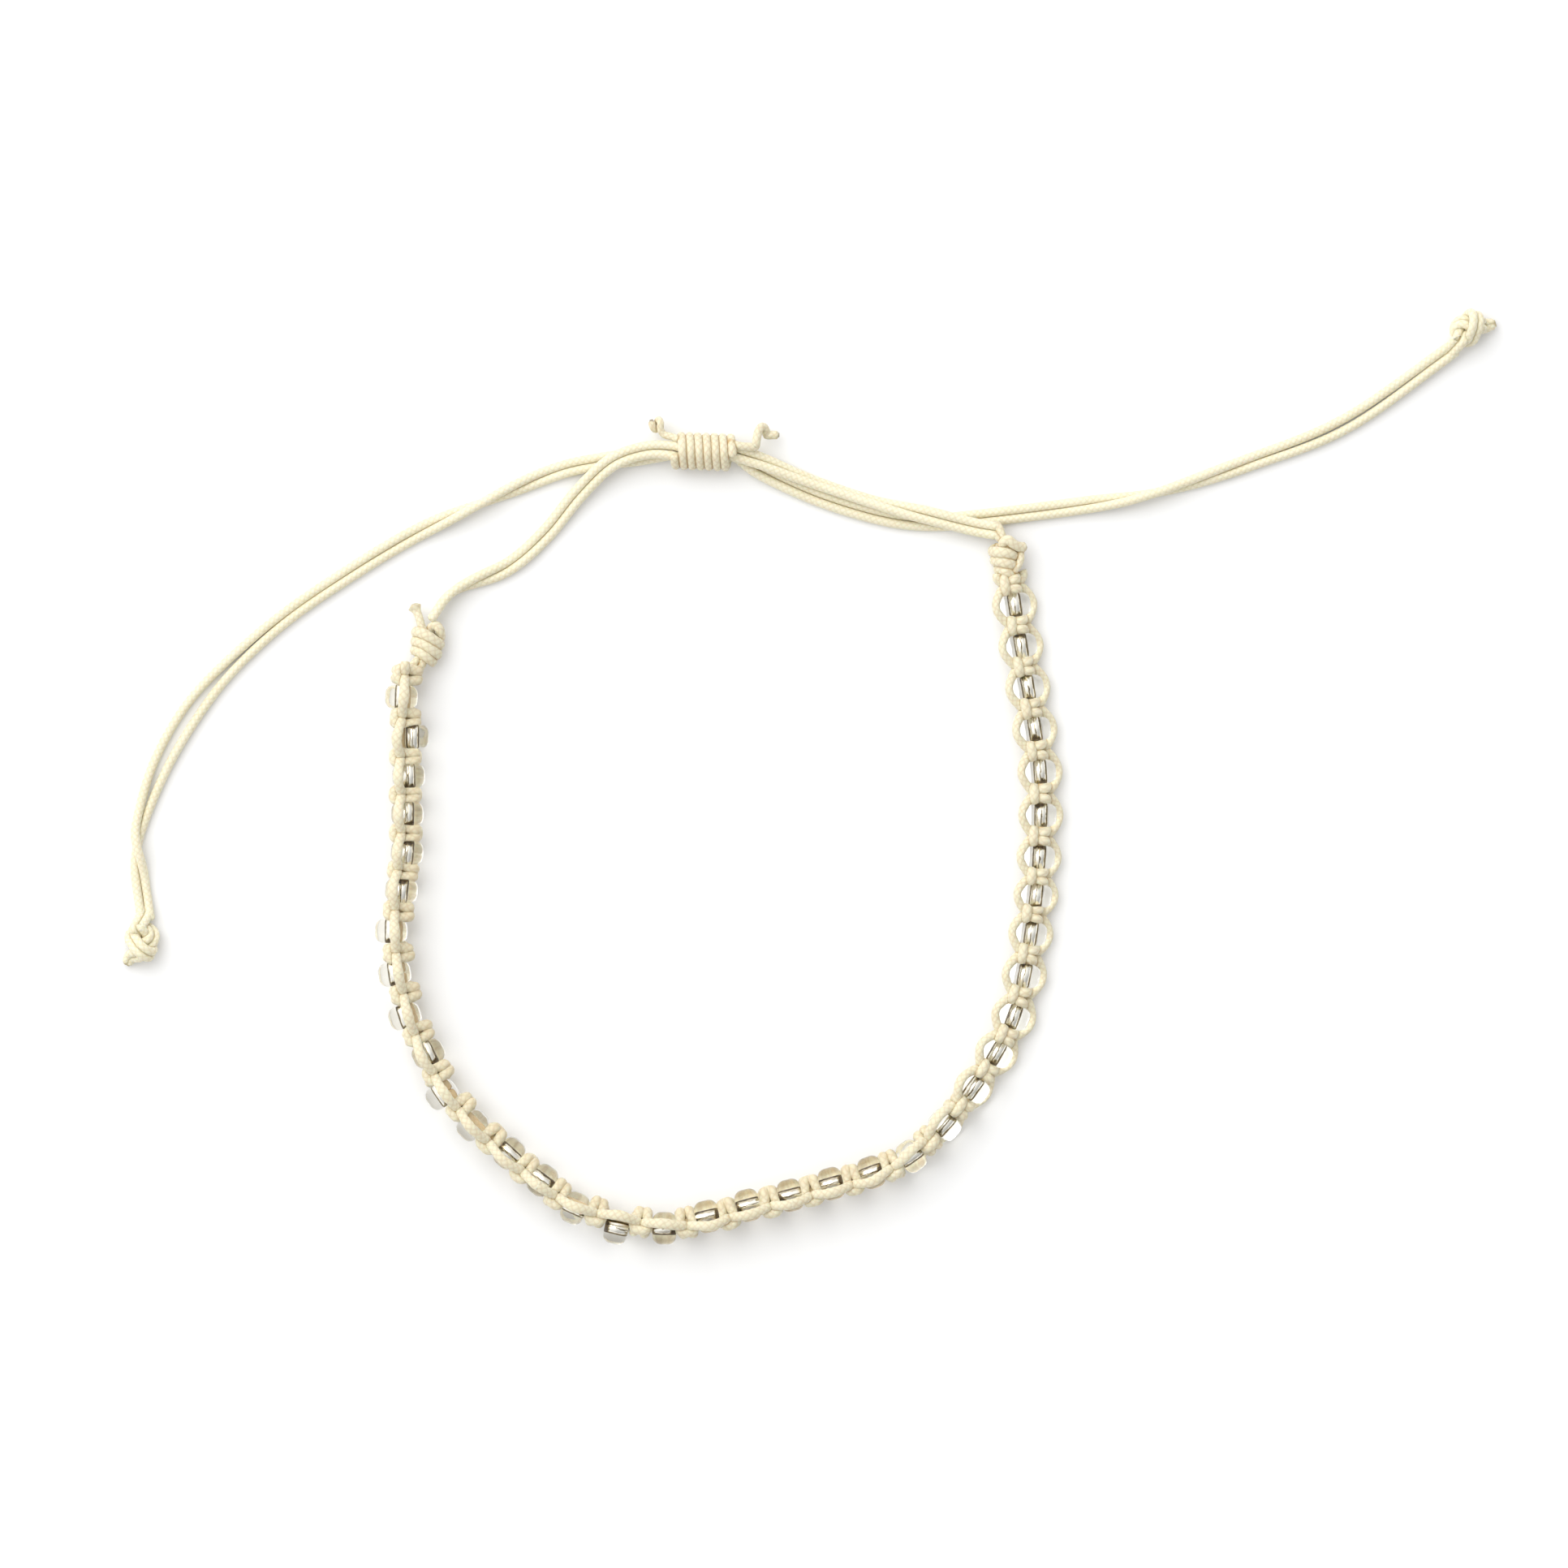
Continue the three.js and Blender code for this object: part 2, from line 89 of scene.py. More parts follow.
# %% Lines
CORD = 0.45            # radius of a cord that nothing squeezes, in millimetres
STEP = 0.13            # distance between rings
SIDES = 12
PLAIT = 0.62           # length of one repeat of the plait
PLAIT_STRANDS = 4      # repeats of the plait round the cord


def smooth_span(a, b, c, d, t):
    """A smooth curve from b, where t is 0, to c, where it is 1; a and d are their neighbours."""
    return 0.5 * (2 * b + (c - a) * t + (2 * a - 5 * b + 4 * c - d) * t**2
                  + (3 * b - a - 3 * c + d) * t**3)


def longer(points):
    """The points with one more at each end, straight on."""
    return np.vstack([2 * points[0] - points[1], points, 2 * points[-1] - points[-2]])


def catmull(points, per_span=24):
    """A smooth line through the points, with many short steps."""
    points = np.asarray(points, float)
    padded = longer(points)
    t = np.linspace(0, 1, per_span, endpoint=False)[:, None]
    spans = [smooth_span(*four, t) for four in zip(padded, padded[1:], padded[2:], padded[3:])]
    return np.vstack(spans + [points[-1:]])


def arc(line):
    """How far along the line each of its points is."""
    return np.concatenate([[0], np.cumsum(np.linalg.norm(np.diff(line, axis=0), axis=1))])


def even(line, step=STEP):
    """The same line with points an even distance apart."""
    length = arc(line)
    places = np.linspace(0, length[-1], max(4, int(round(length[-1] / step)) + 1))
    return np.stack([np.interp(places, length, line[:, k]) for k in range(3)], axis=1)


def unit(vectors):
    return vectors / np.maximum(np.linalg.norm(vectors, axis=-1, keepdims=True), 1e-9)


def frames(line):
    """Directions along the line, and two across it that never spin."""
    along = unit(np.gradient(line, axis=0))
    across = np.zeros_like(line)
    side = np.cross(along[0], (0, 0, 1))
    side = side if np.linalg.norm(side) > 0.05 else np.cross(along[0], (0.3, 1, 0))
    for i, direction in enumerate(along):
        side = side - direction * side.dot(direction)
        side = side / np.linalg.norm(side)
        across[i] = side
    return along, across, np.cross(along, across)


print("cord", 2 * CORD, "mm thick, with a ring of", SIDES, "points every", STEP, "mm")

# %% [markdown]
# The plait itself is partly real shape. A waxed cord of this kind is plaited from a few thick
# yarns, so its outline is not a clean edge but a row of small swellings. The radius of the tube
# follows two families of ridges that climb round the cord in opposite directions, and whichever
# yarn is on top at a place wins. The finest threads are left to a bump in the material.

# %% Plaited rings
YARN = 0.018           # how far a yarn stands out
MEAN_HEIGHT = 0.7      # of the yarns round a cord
ROUND_END = 0.35       # length over which the closed end of a cord narrows
END_SIZE = 0.55        # to this share of its thickness


def plait_height(u, v):
    """1 on the crown of a yarn and 0 between yarns; u along the cord, v round it, in turns."""
    right, left = u + PLAIT_STRANDS * v, u - PLAIT_STRANDS * v
    right_on_top = (np.floor(right) + np.floor(left)) % 2 < 0.5
    crown_right, crown_left = np.abs(np.sin(np.pi * right)), np.abs(np.sin(np.pi * left))
    across = np.where(right_on_top, crown_right, crown_left)
    lengthwise = np.where(right_on_top, crown_left, crown_right)
    return across * (0.6 + 0.4 * lengthwise)


def rings_along(line, radius=CORD, flat=1.0, wide=1.0, normal=None, rounded=True):
    """Rings of a plaited cord; flat and wide scale it towards normal and across that."""
    along, side, up = frames(line)
    if normal is not None:
        up = unit(normal - along * np.sum(normal * along, axis=1, keepdims=True))
        side = np.cross(up, along)
    u = arc(line)
    v = np.arange(SIDES) / SIDES
    angle = 2 * np.pi * v
    height = plait_height(u[:, None] / PLAIT, v[None, :])
    radius, flat, wide = (np.broadcast_to(np.asarray(value, float), u.shape)[:, None]
                          for value in (radius, flat, wide))
    size = radius + YARN * (height - MEAN_HEIGHT)
    if rounded:
        ease = np.minimum(1, END_SIZE + np.minimum(u - u[0], u[-1] - u) / ROUND_END)
        size = size * ease[:, None]
    offset = ((wide * np.cos(angle))[..., None] * side[:, None, :]
              + (flat * np.sin(angle))[..., None] * up[:, None, :])
    return line[:, None, :] + size[:, :, None] * offset, u


print("yarns stand out", YARN, "mm")

# %% [markdown]
# A list of rings becomes a mesh by joining each ring to the next with quads. It could be done with
# an operator ring by ring, but a bracelet has thousands of rings, so the faces are written in one
# go. Each mesh also keeps two masks at its points for its material: where it is pressed, which
# gets painted shade, and where it was cut.

# %% Mesh of rings
def write_mask(mesh, label, values):
    """Keeps a number from 0 to 1 at each point of a mesh, for its material to read."""
    attribute = mesh.attributes.new(label, "FLOAT", "POINT")
    attribute.data.foreach_set("value", values.ravel().astype(np.float32))


def ring_mesh(name, rings, u, crease_shade, cut=None):
    """A closed tube of the rings, with UVs and masks of painted crease shade and of a cut end."""
    count, sides = rings.shape[:2]
    grid = np.arange(count * sides).reshape(count, sides)
    after = np.roll(grid, -1, axis=1)
    quads = np.stack([grid[:-1], after[:-1], after[1:], grid[1:]], axis=-1).reshape(-1, 4)
    mesh = bpy.data.meshes.new(name)
    vertices = rings.reshape(-1, 3)
    mesh.vertices.add(len(vertices))
    mesh.vertices.foreach_set("co", (vertices * MM).ravel())
    loops = len(quads) * 4 + 2 * sides
    mesh.loops.add(loops)
    mesh.polygons.add(len(quads) + 2)
    caps = np.concatenate([grid[0][::-1], grid[-1]])
    mesh.loops.foreach_set("vertex_index", np.concatenate([quads.ravel(), caps]))
    starts = np.concatenate([np.arange(len(quads)) * 4, len(quads) * 4 + np.array([0, sides])])
    mesh.polygons.foreach_set("loop_start", starts)
    mesh.update(calc_edges=True)
    round_v = np.tile(np.arange(sides) / sides, (count, 1))
    u_grid = np.repeat(u[:, None] / PLAIT, sides, axis=1)
    corner_u = np.stack([u_grid[:-1], u_grid[:-1], u_grid[1:], u_grid[1:]], axis=-1)
    next_v = round_v + 1 / sides
    corner_v = np.stack([round_v[:-1], next_v[:-1], next_v[1:], round_v[1:]], axis=-1)
    uv = np.stack([corner_u, corner_v], axis=-1).reshape(-1, 2)
    uv = np.vstack([uv, np.zeros((2 * sides, 2))])
    layer = mesh.uv_layers.new(name="UVMap")
    layer.data.foreach_set("uv", uv.ravel())
    write_mask(mesh, "crease_shade", crease_shade)
    write_mask(mesh, "cut", np.zeros_like(crease_shade) if cut is None else cut)
    smooth = np.ones(len(mesh.polygons), bool)
    smooth[-2:] = False
    mesh.polygons.foreach_set("use_smooth", smooth)
    mesh.validate()
    return mesh


def joined(name, meshes):
    """One object of several meshes, at the origin, with its place in its mesh."""
    objects = []
    for mesh in meshes:
        piece = bpy.data.objects.new(name, mesh)
        bpy.context.collection.objects.link(piece)
        objects.append(piece)
    if len(objects) > 1:
        bpy.ops.object.select_all(action="DESELECT")
        for piece in objects:
            piece.select_set(True)
        bpy.context.view_layer.objects.active = objects[0]
        bpy.ops.object.join()
        bpy.ops.object.select_all(action="DESELECT")
    objects[0].name = name
    return objects[0]


print("a tube has", 2 * SIDES, "triangles for each ring")

# %% [markdown]
# Two places on a cord need care. Where it is cut, it frays: the last rings spread unevenly, and a
# slightly domed face closes them. Where it presses on another cord or on itself, it is painted
# with shade, so every point of its surface is measured against the lines of its neighbours.

# %% Cut ends and creases
CUT_FACE = ((1.0, 0.04), (0.8, 0.1), (0.45, 0.08), (0.12, 0.1))  # share of the width, and rise
CUT_RISE = np.array([0.15, 0.4, 0.8, 1, 1, 1])     # how the mask rises over the last rings
CUT_SPREAD = 0.9       # length over which a cut end frays
AT_ONCE = 200          # rings measured at a time, which saves memory


def cut_end(rings, u, crease_shade, amount, flare):
    """Closes the last ring with a cut face, which may be frayed wider than the cord. The last
    rings get a mask that rises to amount on the face."""
    rng_end = np.random.default_rng(len(rings))
    middle = rings.mean(axis=1, keepdims=True)
    near = np.clip(1 - (u[-1] - u) / CUT_SPREAD, 0, 1)[:, None, None]
    ragged = 1 + 0.25 * rng_end.normal(0, 1, (1, rings.shape[1], 1))
    rings = middle + (rings - middle) * (1 + flare * near**2 * ragged)
    out = unit(middle[-1] - middle[-4])
    face = [middle[-1] + (rings[-1] - middle[-1]) * share + out * rise
            for share, rise in CUT_FACE]
    rings = np.concatenate([rings, np.stack(face)])
    u = np.concatenate([u, u[-1] + 0.1 * np.arange(1, len(face) + 1)])
    crease_shade = np.concatenate([crease_shade, np.repeat(crease_shade[-1:], len(face), axis=0)])
    cut = np.zeros(rings.shape[:2])
    cut[-len(CUT_RISE):] = (CUT_RISE * amount)[:, None]
    return rings, u, crease_shade, cut


def shade_of_creases(rings, lines, own, reach=0.14, skip=1.4):
    """1 where a cord presses on another cord, or on itself further along: it gets painted shade.
    """
    shade = np.zeros(rings.shape[:2])
    for number, (line, radius) in enumerate(lines):
        for start in range(0, len(rings), AT_ONCE):
            part = rings[start:start + AT_ONCE]
            away = np.linalg.norm(part[:, :, None, :] - line[None, None, :, :], axis=-1)
            if number == own:
                places = arc(line)
                apart = np.abs(places[start:start + AT_ONCE, None] - places[None, :])
                away = np.where(apart[:, None, :] < skip, 9, away)
            gap = away.min(axis=2) - radius
            near = np.clip(1 - gap / reach, 0, 1)
            shade[start:start + AT_ONCE] = np.maximum(shade[start:start + AT_ONCE], near)
    return shade


print("a cut end frays over", CUT_SPREAD, "mm")

# %% [markdown]
# ## Wax on cotton
#
# The cord is cream, close to unbleached cotton, with a thin coat of wax: it is a little glossy on
# the crowns of its yarns. Its creases are painted a warm tan, which stands in for the shade there
# and the light that bounces from thread to thread. The plait is a node group, because both
# finishes of the cord use it, and it follows the same ridges that the rings were given.

# %% Plait group
def new_group(name, inputs, outputs):
    """An empty node group with its named sockets."""
    group = bpy.data.node_groups.new(name, "ShaderNodeTree")
    for label, kind, value in inputs:
        socket = group.interface.new_socket(label, in_out="INPUT", socket_type=kind)
        socket.default_value = value
    for label, kind in outputs:
        group.interface.new_socket(label, in_out="OUTPUT", socket_type=kind)
    return group, group.nodes.new("NodeGroupInput"), group.nodes.new("NodeGroupOutput")


def math_node(tree, operation, *values):
    """A math node: a number is set on it, and another node's output is linked to it."""
    node = tree.nodes.new("ShaderNodeMath")
    node.operation = operation
    for socket, value in zip(node.inputs, values):
        if isinstance(value, (int, float)):
            socket.default_value = value
        else:
            tree.links.new(value, socket)
    return node.outputs[0]


def plait_group():
    """UV in, height of the yarns and of their threads out."""
    inputs = [("Threads", "NodeSocketFloat", 5.0)]
    outputs = [("Yarn", "NodeSocketFloat"), ("Height", "NodeSocketFloat")]
    group, given, result = new_group("plait", inputs, outputs)
    uv = group.nodes.new("ShaderNodeUVMap")
    parts = group.nodes.new("ShaderNodeSeparateXYZ")
    group.links.new(uv.outputs[0], parts.inputs[0])
    around = math_node(group, "MULTIPLY", parts.outputs[1], PLAIT_STRANDS)
    right = math_node(group, "ADD", parts.outputs[0], around)
    left = math_node(group, "SUBTRACT", parts.outputs[0], around)
    cells = math_node(group, "ADD", *[math_node(group, "FLOOR", way) for way in (right, left)])
    left_on_top = math_node(group, "PINGPONG", cells, 1.0)
    waves = [math_node(group, "SINE", math_node(group, "MULTIPLY", way, math.pi))
             for way in (right, left)]
    crowns = [math_node(group, "ABSOLUTE", wave) for wave in waves]

    def whichever(if_right, if_left):
        mix = group.nodes.new("ShaderNodeMix")
        for socket, value in zip((mix.inputs[0], mix.inputs[2], mix.inputs[3]),
                                 (left_on_top, if_right, if_left)):
            group.links.new(value, socket)
        return mix.outputs[0]

    lengthwise = math_node(group, "MULTIPLY_ADD", whichever(crowns[1], crowns[0]), 0.4, 0.6)
    yarn = math_node(group, "MULTIPLY", whichever(crowns[0], crowns[1]), lengthwise)
    fine = math_node(group, "MULTIPLY", whichever(right, left), given.outputs[0])
    thread = math_node(group, "SINE", math_node(group, "MULTIPLY", fine, 2 * math.pi))
    group.links.new(yarn, result.inputs[0])
    group.links.new(math_node(group, "MULTIPLY_ADD", thread, 0.1, yarn), result.inputs[1])
    return group


PLAIT_GROUP = plait_group()
print("plait group", len(PLAIT_GROUP.nodes), "nodes")

# %% [markdown]
# A finish is put together from a few nodes that come back in every material here: noise that
# stays on its piece, a mask that was written on the mesh, a mix or a ramp of colours, and a bump.
# Each gets a short helper, so that a material reads as what the finish is made of.

# %% Finish helpers
def new_material(name):
    """A material, its node tree and its shader."""
    material = bpy.data.materials.new(name)
    material.use_nodes = True
    return material, material.node_tree, material.node_tree.nodes["Principled BSDF"]


def noise(tree, scale, detail=2.0, roughness=0.5):
    """Noise that stays on its piece, because it reads the piece's own coordinates."""
    place = tree.nodes.new("ShaderNodeTexCoord")
    pattern = tree.nodes.new("ShaderNodeTexNoise")
    for label, value in (("Scale", scale), ("Detail", detail), ("Roughness", roughness)):
        pattern.inputs[label].default_value = value
    tree.links.new(place.outputs["Object"], pattern.inputs["Vector"])
    return pattern.outputs["Fac"]


def mesh_mask(tree, label):
    """A mask that was written on the mesh."""
    node = tree.nodes.new("ShaderNodeAttribute")
    node.attribute_name = label
    return node.outputs["Fac"]


def colour_mix(tree, share, first, second):
    """The first colour where the mask is 0, the second where it is 1."""
    mix = tree.nodes.new("ShaderNodeMix")
    mix.data_type = "RGBA"
    tree.links.new(share, mix.inputs[0])
    for socket, colour in ((mix.inputs[6], first), (mix.inputs[7], second)):
        if isinstance(colour, tuple):
            socket.default_value = (*colour, 1)
        else:
            tree.links.new(colour, socket)
    return mix.outputs[2]


def colour_ramp(tree, value, *stops):
    """Colours at the stops, each a place from 0 to 1 and a colour."""
    ramp = tree.nodes.new("ShaderNodeValToRGB")
    elements = ramp.color_ramp.elements
    for element, stop in ((elements[0], stops[0]), (elements[1], stops[-1])):
        element.position, element.color = stop[0], (*stop[1], 1)
    for position, colour in stops[1:-1]:
        elements.new(position).color = (*colour, 1)
    tree.links.new(value, ramp.inputs[0])
    return ramp.outputs[0]


def add_bump(tree, shader, height, distance, strength=1.0):
    """Relief that is too fine for the mesh, its depth in millimetres."""
    bump = tree.nodes.new("ShaderNodeBump")
    bump.inputs["Distance"].default_value = distance * MM
    bump.inputs["Strength"].default_value = strength
    tree.links.new(height, bump.inputs["Height"])
    tree.links.new(bump.outputs[0], shader.inputs["Normal"])


helpers = (new_material, noise, mesh_mask, colour_mix, colour_ramp, add_bump)
print("finish helpers", [helper.__name__ for helper in helpers])

# %% [markdown]
# The band's cord is painted darker and tanner than the tie cords, as painted shade; both are one
# material with other colours. The dip between the yarns is painted darker as shade as well. Broad
# noise mixes the crown and the dip of the yarns a little, as a dyed cotton never takes up its
# colour evenly, and light that goes a short way into the cord softens it.

# %% Cord material
CUT_COTTON = (0.13, 0.09, 0.055)
CORD_RELIEF = 0.03     # depth of the bump, in millimetres
CORD_INNER_LIGHT = {"Subsurface Weight": 0.25, "Subsurface Radius": (0.5, 0.3, 0.15),
                    "Subsurface Scale": 0.6 * MM, "Sheen Weight": 0.15}


def cord_material(name, crown, shaded_dip, crease_shade):
    """Waxed cotton: crown is the yarns' colour; shaded_dip and crease_shade are painted shade."""
    material, tree, shader = new_material(name)
    plait = tree.nodes.new("ShaderNodeGroup")
    plait.node_tree = PLAIT_GROUP
    yarn = plait.outputs["Yarn"]
    patches = noise(tree, 420, 3)
    uneven = math_node(tree, "MULTIPLY_ADD", patches, 0.9, -0.4)
    # Painted shade: from crown on the yarns to the darker dip colour between them.
    yarn_colour = colour_ramp(tree, math_node(tree, "ADD", yarn, uneven), (0.1, shaded_dip), (0.85, crown))
    # Painted shade: where a cord presses on a cord it takes the tan crease colour.
    depth = math_node(tree, "POWER", mesh_mask(tree, "crease_shade"), 1.6)
    crease_shaded = colour_mix(tree, depth, yarn_colour, crease_shade)
    uneven_end = math_node(tree, "MULTIPLY_ADD", patches, 0.8, 0.6)
    ends = math_node(tree, "MULTIPLY", mesh_mask(tree, "cut"), uneven_end)
    colour = colour_mix(tree, math_node(tree, "MINIMUM", ends, 1.0), crease_shaded, CUT_COTTON)
    tree.links.new(colour, shader.inputs["Base Color"])
    rough = math_node(tree, "MULTIPLY_ADD", yarn, -0.2, 0.72)
    tree.links.new(rough, shader.inputs["Roughness"])
    add_bump(tree, shader, plait.outputs["Height"], CORD_RELIEF, 0.7)
    for label, value in CORD_INNER_LIGHT.items():
        shader.inputs[label].default_value = value
    return material


TIE_CORD = cord_material(
    "waxed tie cord", crown=(0.84, 0.79, 0.60), shaded_dip=(0.74, 0.67, 0.46), crease_shade=(0.60, 0.50, 0.29))
# The band's cord is the same cord painted darker and tanner: painted shade.
SHADED_BAND_CORD = cord_material(
    "band cord with painted shade", crown=(0.77, 0.72, 0.53), shaded_dip=(0.67, 0.58, 0.40), crease_shade=(0.55, 0.37, 0.16))


def dress(piece, material, slot, *nodes):
    """Gives a piece its finish, hangs it on the root body, and hides the solids it stands for."""
    piece.data.materials.clear()
    piece.data.materials.append(material)
    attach(piece, "root")
    if nodes:
        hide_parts(*nodes)


print("cord finishes", TIE_CORD.name, "and", SHADED_BAND_CORD.name)

# %% [markdown]
# ## The tie cords
#
# Each pair of tie cords leaves its end of the band, goes through the sliding knot, and runs on as
# a tail. The two cords of a pair lie side by side in some stretches and cross over in others, so a
# route has a middle line, the distance between the two cords, and the turn of the pair: 0 side by
# side, 90 one above the other. These are the same rows that the solids were made from. A row
# holds x, y and z in millimetres, the distance, and the turn in degrees.

# %% Routes
PAIR = 0.93            # between the two cords of a pair that lie side by side
SQUASH = 0.05          # and how far two soft cords press into each other
LEFT_TO_SLIDER = [
    (-28.5, 20.7, 1.6, PAIR, 90),
    (-26.2, 23.6, 1.0, PAIR, 90),
    (-20.9, 26.0, 0.45, PAIR, 0),
    (-17.2, 29.2, 0.45, PAIR, 0),
    (-13.9, 33.2, 1.0, PAIR, 0),
    (-10.7, 36.2, 1.75, PAIR, 0),
    (-7.4, 37.4, 2.1, PAIR, 0),
]
LEFT_FROM_SLIDER = [
    (4.1, 35.4, 0.75, PAIR, 180),
    (9.8, 32.8, 0.45, PAIR, 180),
    (16.2, 30.9, 0.45, PAIR, 180),
    (21.0, 30.4, 0.45, PAIR, 180),
    (25.8, 30.8, 0.45, PAIR, 180),
    (35.4, 32.0, 0.5, PAIR, 170),
    (43.0, 33.3, 0.93, PAIR, 90),
    (52.2, 36.3, 0.5, PAIR, 10),
    (61.8, 40.2, 0.45, 1.1, 0),
    (72.4, 47.6, 0.9, PAIR, 0),
]
RIGHT_TO_SLIDER = [
    (27.3, 29.5, 1.65, PAIR, 0),
    (25.0, 29.9, 1.42, PAIR, 0),
    (21.0, 30.9, 1.42, PAIR, 0),
    (15.5, 32.25, 1.0, PAIR, 60),
    (9.3, 34.3, 1.0, PAIR, 60),
    (4.5, 36.2, 1.6, PAIR, 30),
]
RIGHT_FROM_SLIDER = [
    (-8.2, 36.8, 0.75, PAIR, 180),
    (-12.2, 36.3, 0.45, PAIR, 180),
    (-16.6, 35.2, 0.45, PAIR, 180),
    (-23.4, 32.3, 0.93, PAIR, 90),
    (-30.1, 29.2, 0.45, PAIR, 0),
    (-36.6, 25.3, 0.45, PAIR, 0),
    (-43.0, 20.9, 0.45, PAIR, 0),
    (-48.4, 16.1, 0.45, 1.2, 0),
    (-52.1, 11.7, 0.45, 1.65, 0),
    (-55.1, 6.5, 0.45, 1.5, 0),
    (-57.0, 1.2, 0.7, PAIR, -30),
    (-57.4, -1.5, 0.93, PAIR, -90),
    (-57.1, -4.9, 0.45, PAIR, -180),
    (-56.5, -8.9, 0.9, PAIR, -180),
]
SLIDER = {"x": -1.6, "y": 37.3, "heading": math.radians(-2), "half": 3.2, "height": 1.72}
SLIDER_PITCH = 0.49    # from the sliding knot's axis to the middle of each pair


def rows_in_slider(direction):
    """Inside the sliding knot the two pairs turn half way round each other."""
    along = direction * np.array([math.cos(SLIDER["heading"]), math.sin(SLIDER["heading"])])
    rows = []
    for i in range(5):
        go = SLIDER["half"] * (i / 2 - 1)
        angle = math.radians(90 + 45 * i)
        aside = SLIDER_PITCH * math.cos(angle)
        rows.append((SLIDER["x"] + go * along[0] - aside * along[1],
                     SLIDER["y"] + go * along[1] + aside * along[0],
                     SLIDER["height"] + SLIDER_PITCH * math.sin(angle),
                     2 * SLIDER_PITCH, 45 * i))
    return rows


def tie_lines(to_slider, from_slider, direction):
    """The two centre lines of a pair."""
    rows = catmull(to_slider + rows_in_slider(direction) + from_slider, 12)
    middle, apart, turn = rows[:, :3], rows[:, 3], np.radians(rows[:, 4])
    along = unit(np.gradient(middle, axis=0))
    aside = unit(np.stack([-along[:, 1], along[:, 0], np.zeros(len(along))], axis=1))
    lines = []
    for side in (1, -1):
        offset = side * (apart - SQUASH) / 2
        rise = offset * np.sin(turn)
        line = middle + aside * (offset * np.cos(turn))[:, None]
        line[:, 2] = np.maximum(middle[:, 2], CORD + YARN + np.abs(rise)) + rise
        lines.append(even(line))
    return lines


TIE_LINES = {
    "left": tie_lines(LEFT_TO_SLIDER, LEFT_FROM_SLIDER, 1),
    "right": tie_lines(RIGHT_TO_SLIDER, RIGHT_FROM_SLIDER, -1),
}
for side, lines in TIE_LINES.items():
    print("tie cords", side, [round(arc(line)[-1], 1) for line in lines], "mm")

# %% [markdown]
# ## Knots tied from curves
#
# A knot in a cord is only a line that crosses itself. Each knot below has a short list of places
# that its line goes through, in millimetres from the knot's own middle. A wrapped knot is a helix,
# so a function makes its line instead.

# %% Knot helpers
MADE_LINE = 60         # with more points than this it is a line already, not places on one
TURN_POINTS = 40       # points on one turn of a wrapped knot
WOUND_FLAT, WOUND_WIDE = 0.86, 1.14      # a cord wound tight is pressed to this section


def strand(points, radius=CORD, cut=0.0, flare=0.0, axis=None):
    """One cord of a knot. An axis, two points, flattens the cord against what it is wound on."""
    points = np.asarray(points, float)
    line = even(points if len(points) > MADE_LINE else catmull(points))
    return {"line": line, "radius": radius, "cut": cut, "flare": flare, "axis": axis}


def cord_piece(name, strands, material, slot, nodes):
    """One piece of several cords that press on each other."""
    pressed = [(each["line"], each["radius"]) for each in strands]
    meshes = []
    for number, each in enumerate(strands):
        line, shape = each["line"], {}
        if each["axis"] is not None:
            a, b = np.asarray(each["axis"], float)
            axis = unit(b - a)
            out = line - a
            shape = {"normal": out - np.outer(out @ axis, axis), "flat": WOUND_FLAT,
                     "wide": WOUND_WIDE}
        rings, u = rings_along(line, each["radius"], **shape)
        crease_shade, cut = shade_of_creases(rings, pressed, number), None
        if each["cut"] > 0:
            rings, u, crease_shade, cut = cut_end(rings, u, crease_shade, each["cut"], each["flare"])
        meshes.append(ring_mesh(name, rings, u, crease_shade, cut))
    piece = joined(name, meshes)
    dress(piece, material, slot, *nodes)
    return piece


def placed(points, x, y, z, heading=0.0):
    """Points of a knot, turned to its heading and moved to its place."""
    turn = math.radians(heading)
    points = np.asarray(points, float)
    out = points.copy()
    out[:, 0] = points[:, 0] * math.cos(turn) - points[:, 1] * math.sin(turn) + x
    out[:, 1] = points[:, 0] * math.sin(turn) + points[:, 1] * math.cos(turn) + y
    out[:, 2] = points[:, 2] + z
    return out


def wraps(half, turns, wide, high, start_angle=0.0):
    """Cord wound round a bundle along x: turns of a helix with a rounded oval section."""
    t = np.linspace(0, 1, int(turns * TURN_POINTS))
    angle = 2 * np.pi * turns * t + start_angle
    squareness = 1 + 0.05 * np.cos(4 * angle)
    y, z = wide * np.cos(angle) * squareness, high * np.sin(angle) * squareness
    return np.stack([-half + 2 * half * t, y, z], axis=1)


print("one turn of a wrapped knot has", TURN_POINTS, "points")

# %% [markdown]
# Each tail ends in an overhand knot that is tied with both cords as if they were one. Such a knot
# is a loop with its end passed through, and its shape when tight is hard to guess. So it starts as
# a loose loop in one thick cord, and is drawn tight by a small simulation of a thread: the line
# gets shorter, and wherever it would touch itself it is pushed apart by the cord's thickness. The
# two real cords then follow that line side by side.

# %% Overhand knot
PULL = 0.45            # share of the slack that one pass takes up
EASE = 0.1             # share of a kink that one pass smooths
PUSH = 0.22            # share of an overlap that one pass undoes
HELD = 3.6             # the two ends are held this far out, in thicknesses of the pair
KNOTTED = 5.4          # length of cord that stays in the tight knot
NOT_ITSELF = 1.55      # nearer than this along the cord, two places don't push each other


